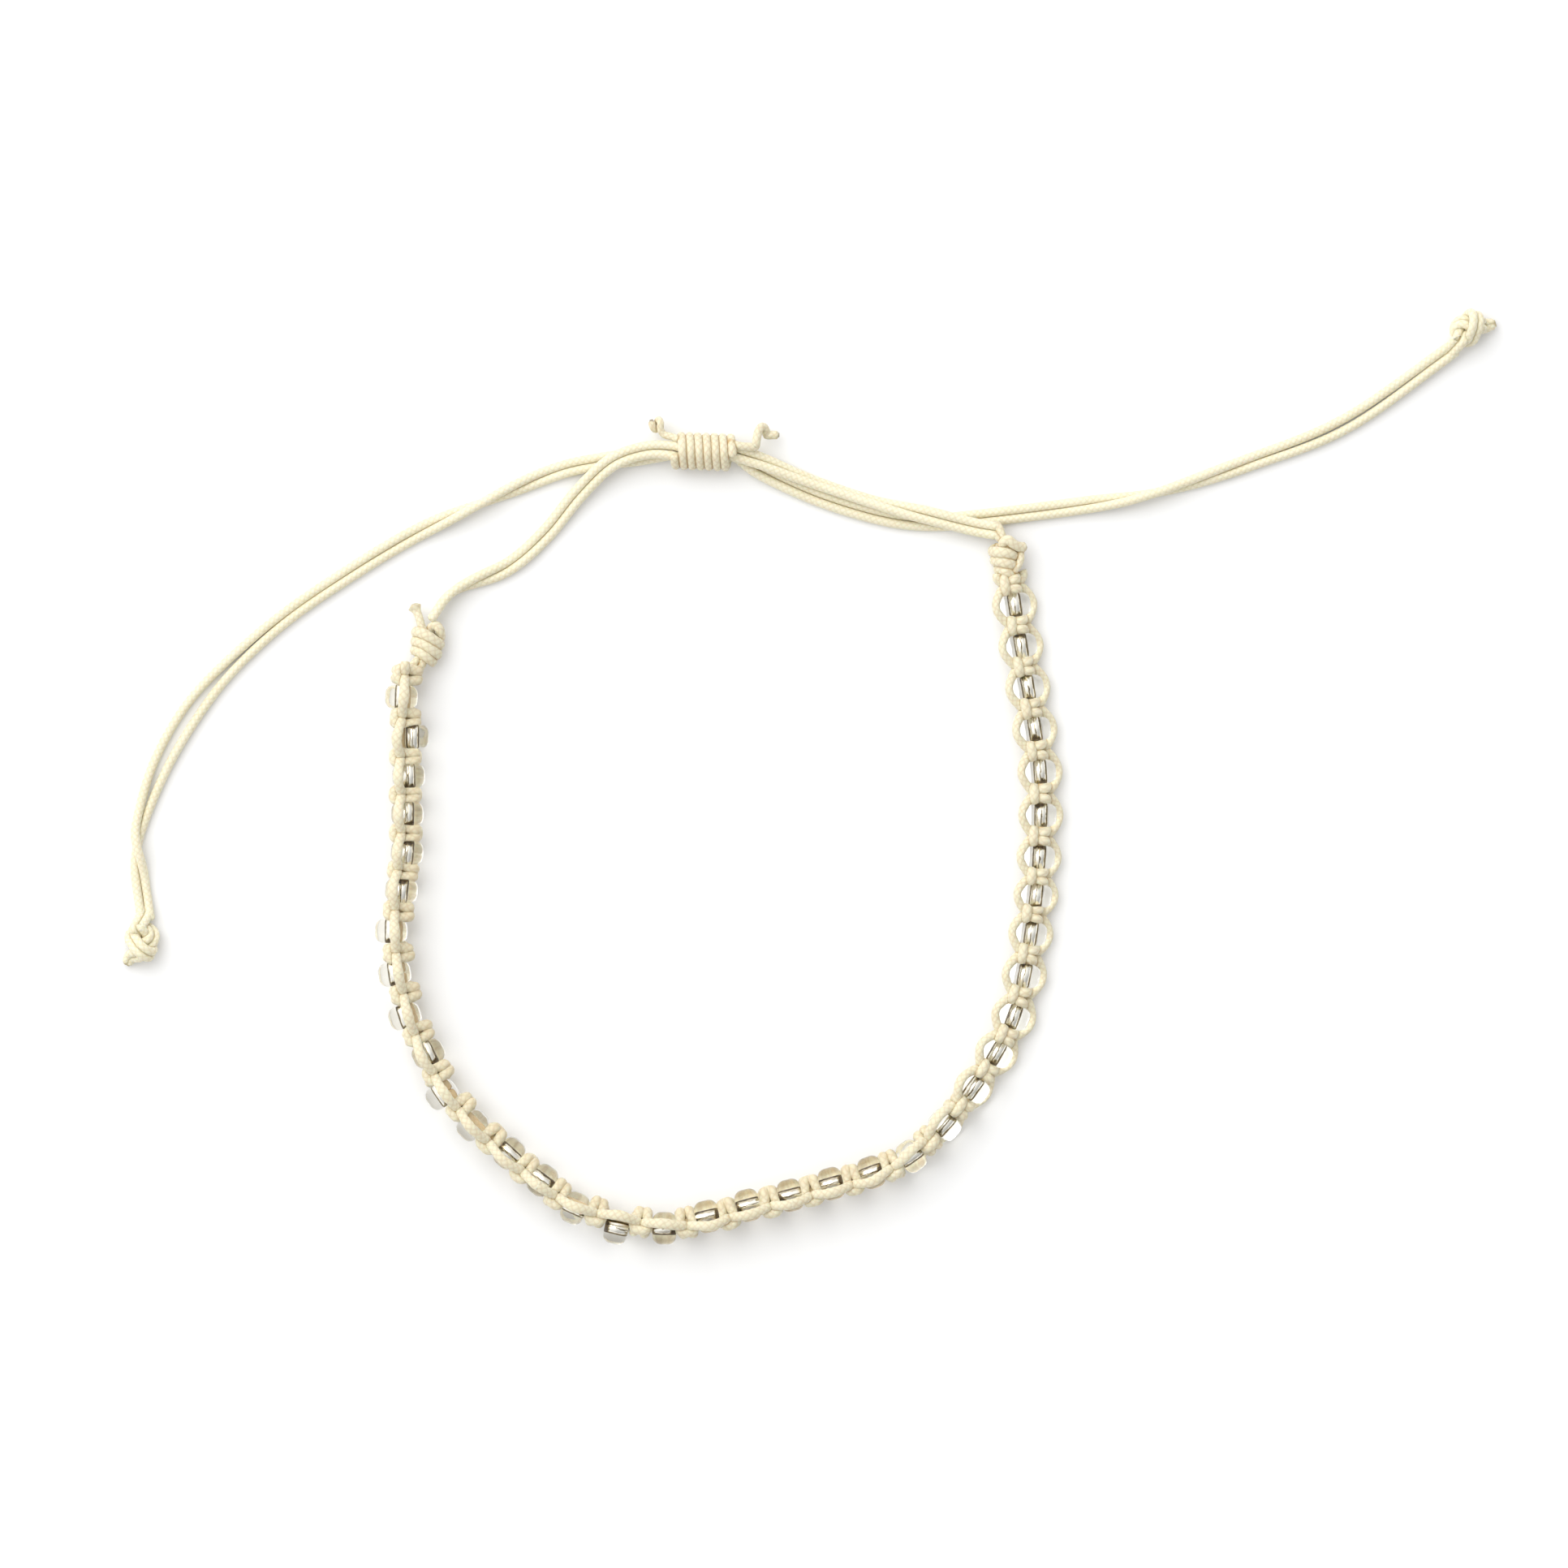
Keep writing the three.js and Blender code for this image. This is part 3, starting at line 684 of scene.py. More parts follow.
def overhand_line(diameter, steps=900, count=120):
    """The middle line of a tight overhand knot, along x, without its free ends."""
    t = np.linspace(math.pi + 0.5, 3 * math.pi - 0.5, 60)
    loop = np.stack([np.sin(t) + 2 * np.sin(2 * t), 2.8 + np.cos(t) - 2 * np.cos(2 * t),
                     -np.sin(3 * t)], axis=1)
    first = [(HELD, 0, 0), (2.2, 0, 0), (1.3, 0.1, 0)]
    last = [(-1.3, 0.1, 0), (-2.2, 0, 0), (-HELD, 0, 0)]
    line = catmull(np.vstack([first, loop, last]), 8)
    line = even(line, arc(line)[-1] / (count - 1))[:count]
    ends, long = line[[0, -1]].copy(), arc(line)[-1]
    index = np.arange(len(line))
    for step in range(steps):
        share = min(1, step / (0.8 * steps))
        rest = (long + (2 * HELD + KNOTTED - long) * share) / (len(line) - 1)
        for _ in range(4):
            span = np.diff(line, axis=0)
            size = np.linalg.norm(span, axis=1, keepdims=True)
            pull = PULL * (size - rest) / size * span
            line[:-1] += pull
            line[1:] -= pull
            line[[0, -1]] = ends
        line[1:-1] += EASE * ((line[:-2] + line[2:]) / 2 - line[1:-1])
        away = line[:, None] - line[None]
        gap = np.linalg.norm(away, axis=2) + 1e-9
        gap = np.where(np.abs(index[:, None] - index[None]) * rest < NOT_ITSELF, 9, gap)
        press = np.clip(1 - gap, 0, None)
        push = PUSH * (away / gap[..., None] * press[..., None]).sum(axis=1)
        line[1:-1] += np.clip(push, -0.06, 0.06)[1:-1]
    # What is kept is the knot without its free ends, rolled over onto its flat side.
    middle = (line[:, 1].max() + line[:, 1].min()) / 2
    knot = line[(np.abs(line[:, 0]) < 1.35) & (line[:, 1] > 0.55 * middle)][::-1]
    x, y, z = (knot - (knot.max(axis=0) + knot.min(axis=0)) / 2).T
    roll = math.radians(60)
    aside = y * math.sin(roll) - z * math.cos(roll)
    up = -y * math.cos(roll) - z * math.sin(roll)
    return np.stack([x, aside, up], axis=1) * diameter


THICK = 1.04           # thickness of the two cords of a tail together
OVERHAND = overhand_line(THICK)
print("overhand knot", [round(v, 2) for v in np.ptp(OVERHAND, axis=0)])

# %% [markdown]
# The tight knot is turned to the heading of its tail and put at its place. The pair's own line
# leads into it, and a short stub leads out, where the two cut ends stick together.

# %% Tail knots
TAIL_CORD = 0.43       # radius of a cord pulled tight in a tail knot
TAIL_APART = 0.37      # from the pair's middle line to each of its cords
TAIL_KNOTS = {
    "left": dict(x=-56.8, y=-10.85, z=1.5, heading=-86),
    "right": dict(x=73.6, y=49.45, z=1.5, heading=38),
}
TAIL_STUBS = {
    "left": [(-58.0, -12.4, 0.9), (-58.45, -13.1, 0.6)],
    "right": [(75.1, 49.7, 0.9), (75.9, 49.85, 0.75), (76.3, 49.95, 0.7)],
}
TAIL_OF = {"left": "right", "right": "left"}
for side, place in TAIL_KNOTS.items():
    first, second = [line[[-14, -7]] for line in TIE_LINES[TAIL_OF[side]]]
    middle = np.vstack([(first + second) / 2, placed(OVERHAND, **place), TAIL_STUBS[side]])
    middle = even(catmull(middle, 6))
    middle[:, 2] = np.maximum(middle[:, 2], CORD)
    _, aside, _ = frames(middle)
    to_go = arc(middle)[-1] - arc(middle)
    gathered = np.interp(to_go, [0.3, 1.3], [0.4, 1])
    aside = TAIL_APART * aside * gathered[:, None]
    pair = [strand(middle + way * aside, TAIL_CORD, cut=0.35) for way in (1, -1)]
    cord_piece(f"tied_tail_{side}", pair, TIE_CORD, "cord",
                                  [f"tail_knot_{side}"])

# %% [markdown]
# Each tie cord is a free cord of its real length, so it is declared as one, with its exit from the
# end knot, the line that it follows, and the tail knot that it ends in.

# %% Tie cord pieces
all_ties = [(line, CORD) for pair in TIE_LINES.values() for line in pair]
for side, lines in TIE_LINES.items():
    for number, line in enumerate(lines, 1):
        own = next(i for i, (other, _) in enumerate(all_ties) if other is line)
        rings, u = rings_along(line)
        mesh = ring_mesh("tie", rings, u, shade_of_creases(rings, all_ties, own))
        piece = joined(f"plaited_tie_{side}_{number}", [mesh])
        dress(piece, TIE_CORD, "cord", f"tie_cord_{side}_{number}")

# %% [markdown]
# ## The line of the band
#
# The band was put down loosely, so it lies flat on the right of the loop, where both bows of each
# knot can be seen, and stands on edge along the bottom and the left, where only one bow shows and
# the beads peep out beside it. The beads' places come from the frame. A first table says how far
# the bows are turned, and how far a bead has slipped aside between them, much as in the solids.
# A second table lets a bead and its knots settle a little, by half a millimetre or so, as they do
# where the band curves. It also says how much painted shade a bead's rim gets, which stands for
# its glass showing the shaded side of the cord instead of the white paper.

# %% Band line
LIE = [  # up to this bead, turn of the bows in degrees, slip of the bead in millimetres
    (11, 25, 0), (12, 32, 0), (13, 45, 0), (14, 60, 0), (15, 78, 0), (20, 105, 0.4), (21, 80, 0),
    (22, 78, -0.7), (23, 92, -0.2), (24, 97, 0.5), (25, 108, 0.5), (26, 103, -0.3), (27, 97, -0.3),
    (28, 105, 0.5), (29, 93, -0.4), (31, 92, -0.7), (36, 107, 0.7), (37, 90, -0.7),
]
SETTLED = {  # bead: bead inwards, knots inwards, both back along the band; painted shade in its rim
    15: (0.0, 0.0, 0.0, 0.4), 16: (-0.28, -0.20, 0.0, 1.0), 17: (-0.32, -0.25, -0.2, 1.0),
    18: (-0.32, -0.25, -0.25, 1.0), 19: (-0.25, -0.22, -0.2, 1.0), 20: (-0.22, -0.25, -0.3, 1.0),
    21: (-0.30, -0.15, -0.1, 0.8), 22: (-0.10, 0.10, 0.0, 0.2), 23: (0.0, 0.0, 0.0, 0.1),
    24: (-0.12, 0.0, 0.0, 0.45), 25: (-0.20, 0.0, 0.0, 0.4), 26: (0.50, 0.40, 0.0, 0.3),
    27: (0.50, 0.75, 0.0, 0.15), 28: (0.55, 0.80, 0.0, 0.3), 29: (0.45, 0.50, 0.0, 0.1),
    30: (0.40, 0.15, 0.0, 0.0), 31: (0.25, 0.0, 0.0, 0.0), 32: (-0.40, 0.0, 0.0, 0.1),
    33: (-0.30, 0.0, 0.0, 0.1), 34: (-0.37, 0.0, 0.0, 0.3), 35: (-0.25, 0.0, 0.0, 0.1),
    36: (0.30, 0.0, 0.0, 0.1), 37: (0.40, 0.0, 0.0, 0.2),
}
numbers = np.arange(1, BEADS + 1)
lies = np.array([next(row for row in LIE if bead <= row[0]) for bead in numbers], float)
bead_turn, bead_slip = np.radians(lies[:, 1]), lies[:, 2]
settled = np.array([SETTLED.get(bead, (0, 0, 0, 0)) for bead in numbers])
bead_places = []
for bead in numbers:
    low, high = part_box(f"bead_{bead:02d}")
    bead_places.append([(a + b) / 2 / MM for a, b in zip(low, high)])
bead_places = np.array(bead_places)


def line_rows(places):
    """The places of the beads, with three more past each end for the curve to run out."""
    return longer(longer(longer(places)))


NEARBY = 0.25          # part of the way to the next bead


def band_axes(place):
    """Along the band, towards the upper bow, and towards the front, at any bead or knot."""
    place = np.atleast_1d(np.asarray(place, float))
    along = unit(band_point(place + NEARBY) - band_point(place - NEARBY))
    along[:, 2] = 0
    along = unit(along)
    inwards = np.stack([along[:, 1], -along[:, 0], np.zeros(len(along))], axis=1)
    turn = np.interp(place, numbers, bead_turn)[:, None]
    up = np.array([0, 0, 1.0])
    bow = inwards * np.cos(turn) + up * np.sin(turn)
    front = -(inwards * np.sin(turn) - up * np.cos(turn))
    return along, bow, front


def band_point(place):
    """The band's middle line; whole numbers are beads, and knots are half way between them."""
    place = np.atleast_1d(np.asarray(place, float))
    rows = np.clip(np.floor(place).astype(int), 0, BEADS + 1)
    t = (place - rows)[:, None]
    four = [band_rows[np.clip(rows + k, 0, len(band_rows) - 1)] for k in (1, 2, 3, 4)]
    return smooth_span(*four, t)


band_rows = line_rows(bead_places)
bead_along, _, bead_front = band_axes(numbers)
bead_inwards = np.stack([bead_along[:, 1], -bead_along[:, 0], 0 * bead_along[:, 0]], axis=1)
line_places = (bead_places + bead_front * bead_slip[:, None] + bead_inwards * settled[:, 1:2]
               + bead_along * settled[:, 2:3])
bead_places = bead_places + bead_inwards * settled[:, :1] + bead_along * settled[:, 2:3]
band_rows = line_rows(line_places)
pitch = np.linalg.norm(np.diff(line_places, axis=0), axis=1).mean()
print("beads", len(bead_places), "mean pitch", round(pitch, 2), "mm")

# %% [markdown]
# ## One square knot, pulled tight
#
# A square knot is easy to tie and hard to draw: two working cords change places twice round the
# core, and once they are pulled tight they squash each other. So the knot is tied here loosely, as
# a line through a few places, and then tightened as a thread is: the line is shortened a little at
# a time, and wherever cord meets cord, core or bead it is pushed apart again. The second cord is
# the first one turned half way round the core, and the knot is the same from both ends, so only
# half of one cord has to be written down.

# %% Tighten the knot
SQUEEZED = 0.30        # half the distance that two cords keep in the tight knot
THIN = 0.1             # the cord starts this thin, and swells while the knot is drawn
OVERLAP_STEP = 0.04    # the furthest that one pass pushes a cord
CORE_ASIDE, CORE_UP = 0.12, 0.36   # half the core's section in a knot, which is flat
BEAD_CURVE = 2.6       # power of the rounded box that stands for a bead
HALF_PITCH = 2.02      # from bow to knot, as the loose knot is written down
LOOSE_KNOT = [  # from the middle of a bow to the middle of the knot
    (-HALF_PITCH, 2.00, 0.0), (-1.35, 1.98, 0.0), (-0.80, 1.60, 0.05), (-0.50, 1.20, -0.15),
    (-0.28, 0.75, 0.30), (-0.42, 0.00, 0.95), (-0.62, -0.60, 0.60), (-0.78, -0.90, 0.05),
    (-0.68, -1.30, -0.50), (-0.40, -1.80, -0.60), (0.00, -1.95, -0.60),
]
HALF_STEPS = 40


def tighten(tight_length, steps=1100):
    """The first working cord of one knot, from the middle of one bow to that of the next."""
    half = even(catmull(LOOSE_KNOT), 0.01)
    half = half[np.linspace(0, len(half) - 1, HALF_STEPS + 1).astype(int)]
    line = np.vstack([half, (half * [-1, 1, 1])[-2::-1]])
    line[:, 0] *= pitch / 2 / HALF_PITCH
    loose_length = arc(line)[-1]
    count = len(line) - 1
    period = np.array([pitch, 0, 0])
    index = np.arange(count)
    for step in range(steps):
        swell = min(1, step / (0.6 * steps))
        radius = THIN + (SQUEEZED - THIN) * swell
        share = min(1, step / (0.8 * steps))
        rest = (loose_length + (tight_length - loose_length) * share) / count
        cord = line[:-1]
        # The cord is drawn in, and its kinks are smoothed.
        for _ in range(4):
            after = np.vstack([cord[1:], cord[:1] + period])
            span = after - cord
            size = np.linalg.norm(span, axis=1, keepdims=True)
            pull = PULL * (size - rest) / size * span
            cord = cord + pull - np.roll(pull, 1, axis=0)
        before = np.vstack([cord[-1:] - period, cord[:-1]])
        after = np.vstack([cord[1:], cord[:1] + period])
        cord = cord + EASE * ((before + after) / 2 - cord)
        # It is pushed off itself and off the other cord, here and in the knots on both sides.
        push = np.zeros_like(cord)
        for shift in (-1, 0, 1):
            for other, same in ((cord, True), (cord * [1, -1, -1], False)):
                away = cord[:, None, :] - (other[None, :, :] + shift * period)
                gap = np.linalg.norm(away, axis=2) + 1e-9
                if same:
                    apart = np.abs(index[:, None] - index[None, :] - shift * count)
                    gap = np.where(apart * rest < 3.2 * radius, 9, gap)
                press = np.clip(2 * radius - gap, 0, None)
                push += PUSH * (away / gap[..., None] * press[..., None]).sum(axis=1)
        cord = cord + np.clip(push, -OVERLAP_STEP, OVERLAP_STEP)
        # It is kept out of the core, and out of the beads on both sides.
        core = np.hypot(cord[:, 1] / (CORE_ASIDE + radius),
                        cord[:, 2] / (CORE_UP + 0.19 * swell + radius))
        cord[core < 1, 1:] /= core[core < 1][:, None]
        for middle in (-pitch / 2, pitch / 2):
            half_length, outside = 1.05 + 0.75 * radius, 1.5 + 1.83 * radius
            reach = np.hypot(cord[:, 1], cord[:, 2])
            depth = (np.abs((cord[:, 0] - middle) / half_length) ** BEAD_CURVE
                     + (reach / outside) ** BEAD_CURVE) ** (1 / BEAD_CURVE)
            hit = depth < 1
            grow = 1 + 0.5 * (1 / depth[hit] - 1)
            cord[hit] = (cord[hit] - [middle, 0, 0]) * grow[:, None] + [middle, 0, 0]
        line = np.vstack([cord, cord[:1] + period])
        line = (line + (line * [-1, 1, 1])[::-1]) / 2
    return line


def pinch(line):
    """The knot is drawn in towards its own middle, more than the bows are."""
    x, y, z = line.T
    x = x * (1 - 0.25 * np.exp(-(x / 1.25) ** 4))
    y = y * (1 - 0.19 * np.exp(-(x / 0.95) ** 2))
    return np.stack([x, y, z * 1.1], axis=1)


CORD_PER_KNOT = 11.6   # the loose knot is drawn in until it holds this much, in millimetres
KNOT_LINE = pinch(tighten(CORD_PER_KNOT))
print("cord in one knot", round(arc(KNOT_LINE)[-1], 1), "mm")

# %% [markdown]
# ## Knotting the band
#
# The tight knot is now repeated along the band. Each repeat is bent onto the band's line, turned
# with its bows, and pushed about by a slow random drift of a few hundredths of a millimetre, since
# no two knots that a hand has tied are alike. A bow is pressed flat against its bead, and a cord
# is round where it crosses the core. Where the band stands on edge the lower half of each knot
# carries the weight: it is drawn in and swells a little, and it is painted with more shade. The
# band is cut into stretches of a few knots, and each cord goes on a little inside the next
# stretch.

# %% Working cords
SOFT = 0.44            # radius of a working cord in the knots
NARROWS = 0.34         # share of the pitch over which the first and last bow close in
CUT_OFF = 0.27         # and how far past its knot the cord is hidden in the end knot
EDGE_SINK, EDGE_DRAW, EDGE_SWELL, EDGE_SHADE = 0.34, 0.16, 0.2, 0.45   # in the lower half, on edge
CROSSING_SWELL, CROSSING = 0.13, 0.85    # a cord is thicker this near to the middle of a knot
DRIFT = 0.05
rng = np.random.default_rng(7)
drift = rng.normal(0, 1, (BEADS + 3, 4, 3))


def working_cord(which, first, last):
    """One cord from first to last knot: its line and surface direction, how flat it is pressed,
    how far it swells, and how much painted shade it gets."""
    parts, normals, shapes = [], [], []
    for knot in range(first, last + 1):
        cell = KNOT_LINE.copy()
        outwards = {0: -1, BEADS: 1}.get(knot)
        if outwards:
            share = np.clip((pitch / 2 - outwards * cell[:, 0]) / (NARROWS * pitch), 0, 1)
            cell[:, 1:] *= (0.3 + 0.7 * share**2 * (3 - 2 * share))[:, None]
            cell = cell[outwards * cell[:, 0] < CUT_OFF * pitch]
        if which:
            cell = cell * [1, -1, -1]
        if knot < last:
            cell = cell[:-1]
        on_edge = math.sin(np.interp(knot + 0.5, numbers, bead_turn)) ** 2
        inner = np.clip(-cell[:, 2], 0, 1.2)
        cell[:, 2] -= EDGE_SINK * on_edge * inner
        cell[:, 0] *= 1 - EDGE_DRAW * on_edge * inner
        shift = drift[knot, 2 * which:2 * which + 2]
        t = np.linspace(0, 1, len(cell))[:, None]
        cell = cell + DRIFT * np.sin(np.pi * t) * (shift[0] + np.sin(2 * np.pi * t) * shift[1])
        place = knot + 0.5 + cell[:, 0] / pitch
        _, bow, front = band_axes(place)
        out = bow * cell[:, 1:2] + front * cell[:, 2:3]
        parts.append(band_point(place) + out)
        normals.append(out)
        pressed = np.clip((np.abs(cell[:, 0]) / pitch * 2 - 0.5) / 0.3, 0, 1)
        swell = (CROSSING_SWELL * np.exp(-(cell[:, 0] / CROSSING) ** 2)
                 + EDGE_SWELL * on_edge * inner)
        shapes.append(np.stack([pressed, swell, EDGE_SHADE * on_edge * inner], axis=1))
    line, normal, shape = np.vstack(parts), np.vstack(normals), np.vstack(shapes)
    length = arc(line)
    places = np.linspace(0, length[-1], int(length[-1] / STEP) + 1)
    line, normal, shape = (
        np.stack([np.interp(places, length, column) for column in values.T], axis=1)
        for values in (line, normal, shape))
    return line, unit(normal), *shape.T


def tucked(rings, u, crease_shade, reach=0.15):
    """Adds a slightly smaller ring past each end, which hides inside the next piece's cord."""
    middle = rings.mean(axis=1, keepdims=True)
    ends = [middle[a] + (rings[a] - middle[a]) * 0.96 + unit(middle[a] - middle[b]) * reach
            for a, b in ((0, 1), (-1, -2))]
    rings = np.concatenate([ends[0][None], rings, ends[1][None]])
    u = np.concatenate([[u[0] - reach], u, [u[-1] + reach]])
    return rings, u, np.concatenate([crease_shade[:1], crease_shade, crease_shade[-1:]])


BEAD_SHARE = 0.29      # half the share of the core that lies in beads, where it is round
CORE_IN_BEAD = 0.42    # radius of the core there
CORE_FLAT, CORE_WIDE = 0.40, 0.72        # half its section in a knot
CORE_ENDS = (0.3, BEADS + 0.7)           # its ends hide in the two end knots
CORE_SHADE = 0.8
FIRST_KNOTS = [0, 3, 6, 9, 12, 15, 18, 21, 24, 27, 30, 33]
LAST_KNOTS = [first - 1 for first in FIRST_KNOTS[1:]] + [BEADS]

for number, (first, last) in enumerate(zip(FIRST_KNOTS, LAST_KNOTS), 1):
    name = f"square_knots_{number:02d}"
    made = [working_cord(which, first, last) for which in (0, 1)]
    core_from, core_to = max(first, CORE_ENDS[0]), min(last + 1, CORE_ENDS[1])
    core_place = np.linspace(core_from, core_to, int((core_to - core_from) * pitch / STEP))
    core_line = band_point(core_place)
    lines = [(made[0][0], SOFT), (made[1][0], SOFT)]
    meshes = []
    for which, (line, normal, flat_share, swell, lower_shade) in enumerate(made):
        rings, u = rings_along(line, SOFT * (1 + swell), flat=1 - 0.2 * flat_share,
                               wide=1 + 0.2 * flat_share, normal=normal, rounded=False)
        # Painted shade in the creases, and more on the lower half of a knot on edge.
        crease_shade = np.maximum(shade_of_creases(rings, lines, which), lower_shade[:, None])
        rings, u, crease_shade = tucked(rings, u, crease_shade)
        meshes.append(ring_mesh(name, rings, u, crease_shade))
    _, core_bow, _ = band_axes(core_place)
    in_bead = np.abs(core_place - np.round(core_place)) < BEAD_SHARE
    core_flat = np.where(in_bead, CORE_IN_BEAD, CORE_FLAT)
    core_wide = np.where(in_bead, CORE_IN_BEAD, CORE_WIDE)
    rings, u = rings_along(core_line, 1.0, flat=core_flat, wide=core_wide, normal=core_bow)
    # The core takes the crease colour all along: painted shade, as it lies under knots and in
    # beads.
    meshes.append(ring_mesh(name, rings, u, np.full(rings.shape[:2], CORE_SHADE)))
    piece = joined(name, meshes)
    dress(piece, SHADED_BAND_CORD, "cord", f"knotted_cord_{number:02d}")
print("band pieces", len(FIRST_KNOTS))

# %% [markdown]
# ## The sliding knot
#
# A short cord is wound seven times round both tie pairs and holds them by friction alone. Its two
# cut ends were never trimmed close: they stand up beside the knot, curled and dark at the cut.

# %% Sliding knot
slider_wraps = placed(
    wraps(half=2.85, turns=7, wide=1.36, high=1.32, start_angle=math.pi * 0.6),
    SLIDER["x"], SLIDER["y"], SLIDER["height"], heading=-2)
LEFT_STUB = [(-3.9, 38.4, 2.5), (-4.7, 38.75, 2.1), (-5.5, 39.0, 1.8), (-5.85, 39.5, 1.9),
             (-5.85, 40.1, 2.0), (-6.05, 40.45, 1.6), (-6.25, 40.0, 1.2), (-6.35, 39.5, 1.3),
             (-6.6, 39.75, 1.7), (-6.75, 40.35, 1.8)]
RIGHT_STUB = [(1.0, 38.1, 2.6), (1.8, 37.85, 2.7), (2.8, 37.75, 2.6), (3.45, 37.75, 2.4),
              (3.6, 38.4, 2.6), (3.8, 39.3, 2.4), (4.2, 39.75, 2.0), (4.55, 39.3, 1.6),
              (4.6, 38.95, 1.4), (5.1, 38.95, 1.5), (5.75, 38.95, 1.5)]
cord_piece("wrapped_slider", [
    strand(slider_wraps), strand(LEFT_STUB, 0.36, cut=1.0), strand(RIGHT_STUB, 0.43, cut=0.6),
], SHADED_BAND_CORD, "cord", ["sliding_knot"])

print("sliding knot", round(arc(slider_wraps)[-1], 1), "mm of cord wound round")

# %% [markdown]
# ## The end knots
#
# The two end knots are wound by hand, so their turns are neither even nor square to the knot.
# Their lines are written out turn by turn, from the top: the left end of a turn, three places
# across its front, its right end, and two places behind. The cord is pressed flat against the
# bundle inside. A yoke is the pair of cords that comes out of the knot towards the band, and a
# tuft is the short end that was cut off. The right knot also has a lock, a turn laid down over
# the others, and two necks, where the tie cords go in.

# %% End knots
LEFT_COIL = [
    (-28.5, 19.4, 1.3), (-28.35, 20.0, 1.7), (-27.85, 20.1, 1.9), (-27.5, 19.6, 1.75),
    (-27.5, 19.0, 1.1), (-28.3, 19.0, 0.6), (-29.3, 19.3, 0.6),
    (-30.0, 19.55, 1.35), (-29.45, 19.5, 2.3), (-28.7, 19.1, 2.6), (-27.95, 18.6, 2.3),
    (-27.5, 18.3, 1.5), (-28.2, 18.3, 0.6), (-29.2, 18.5, 0.55),
    (-30.05, 18.65, 1.35), (-29.55, 18.55, 2.2), (-28.85, 18.2, 2.5), (-28.1, 17.65, 2.2),
    (-27.75, 17.35, 1.45), (-28.4, 17.35, 0.6), (-29.3, 17.6, 0.55),
    (-30.1, 17.8, 1.3), (-29.6, 17.65, 2.1), (-29.1, 17.3, 2.35), (-28.55, 16.9, 2.05),
    (-28.25, 16.65, 1.3), (-28.6, 17.0, 0.9), (-29.1, 17.6, 1.2),
]
LEFT_YOKE = [
    [(-28.7, 18.4, 1.5), (-29.5, 17.2, 1.8), (-29.95, 16.6, 1.9), (-30.4, 16.1, 1.9)],
    [(-28.7, 18.4, 1.5), (-29.2, 17.1, 1.9), (-29.25, 16.5, 1.9), (-29.6, 15.8, 1.7)],
]
LEFT_TUFT = [(-28.9, 19.3, 1.8), (-29.35, 20.1, 1.9), (-29.55, 20.8, 1.8), (-29.8, 21.5, 1.6),
             (-30.1, 22.15, 1.4)]
cord_piece("wrapped_end_left", [
    strand(LEFT_COIL, 0.48, axis=((-29.2, 16.5, 1.5), (-28.5, 20.0, 1.5))),
    *[strand(line, 0.4) for line in LEFT_YOKE],
    strand(LEFT_TUFT, 0.4, cut=0.4, flare=1.0),
], SHADED_BAND_CORD, "cord", ["end_knot_left"])

RIGHT_COIL = [
    (27.9, 28.0, 1.3), (27.2, 27.8, 1.0),
    (26.75, 27.5, 1.4), (27.3, 27.4, 2.4), (27.95, 27.3, 2.65), (28.65, 27.15, 2.35),
    (29.05, 27.0, 1.5), (28.5, 26.9, 0.6), (27.5, 26.8, 0.6),
    (26.95, 26.6, 1.4), (27.5, 26.5, 2.3), (28.1, 26.35, 2.55), (28.75, 26.15, 2.25),
    (29.05, 25.95, 1.45), (28.5, 25.9, 0.6), (27.6, 25.9, 0.6),
    (27.3, 25.75, 1.35), (27.8, 25.65, 2.1), (28.25, 25.5, 2.3), (28.7, 25.35, 2.0),
    (28.9, 25.2, 1.3), (28.3, 25.7, 1.0),
]
RIGHT_LOCK = [(28.9, 27.9, 1.2), (29.5, 27.5, 1.7), (29.6, 26.8, 2.0), (29.35, 26.1, 2.2),
              (28.95, 25.6, 2.1), (28.6, 25.2, 1.4)]
RIGHT_TUFT = [(27.8, 27.7, 1.6), (27.9, 28.35, 2.3), (28.35, 28.6, 2.6), (28.85, 28.2, 2.5),
              (29.35, 27.95, 2.2), (30.0, 27.85, 1.8)]
RIGHT_YOKE = [
    [(28.1, 26.6, 1.5), (28.0, 25.5, 1.6), (28.0, 24.9, 1.7), (28.3, 24.3, 1.8)],
    [(28.3, 26.6, 1.5), (28.9, 25.4, 1.5), (29.1, 24.8, 1.6), (28.9, 24.2, 1.7)],
]
necks = [np.vstack([line[[8, 4, 0]], (27.95, 28.35, 1.9), (28.0, 27.4, 1.6)])
         for line in TIE_LINES["right"]]
cord_piece("wrapped_end_right", [
    strand(RIGHT_COIL, 0.48, axis=((28.0, 25.0, 1.5), (28.0, 28.0, 1.5))),
    strand(RIGHT_LOCK, 0.36), strand(RIGHT_TUFT, 0.5, cut=0.6, flare=0.2),
    strand([(27.3, 27.8, 1.4), (27.8, 28.0, 1.9), (28.4, 28.0, 2.0), (28.9, 27.6, 1.6)], 0.45),
    *[strand(line, 0.4) for line in RIGHT_YOKE], *[strand(line, 0.43) for line in necks],
], SHADED_BAND_CORD, "cord", ["end_knot_right"])

# %% [markdown]
# ## Glass beads with a silver lining
#
# A seed bead is a slice of drawn glass tube, tumbled until its edges are round. These are clear,
# with a hole that is silvered on its inside: the lining is what catches the eye, because the glass
# around it works as a lens and makes it look wider than it is. The bead starts as a cylinder: its
# ends are inset to the width of the hole, the two inner faces are bridged into the hole's wall,
# and the rims are bevelled as tumbling would round them. It is modelled once and copied.

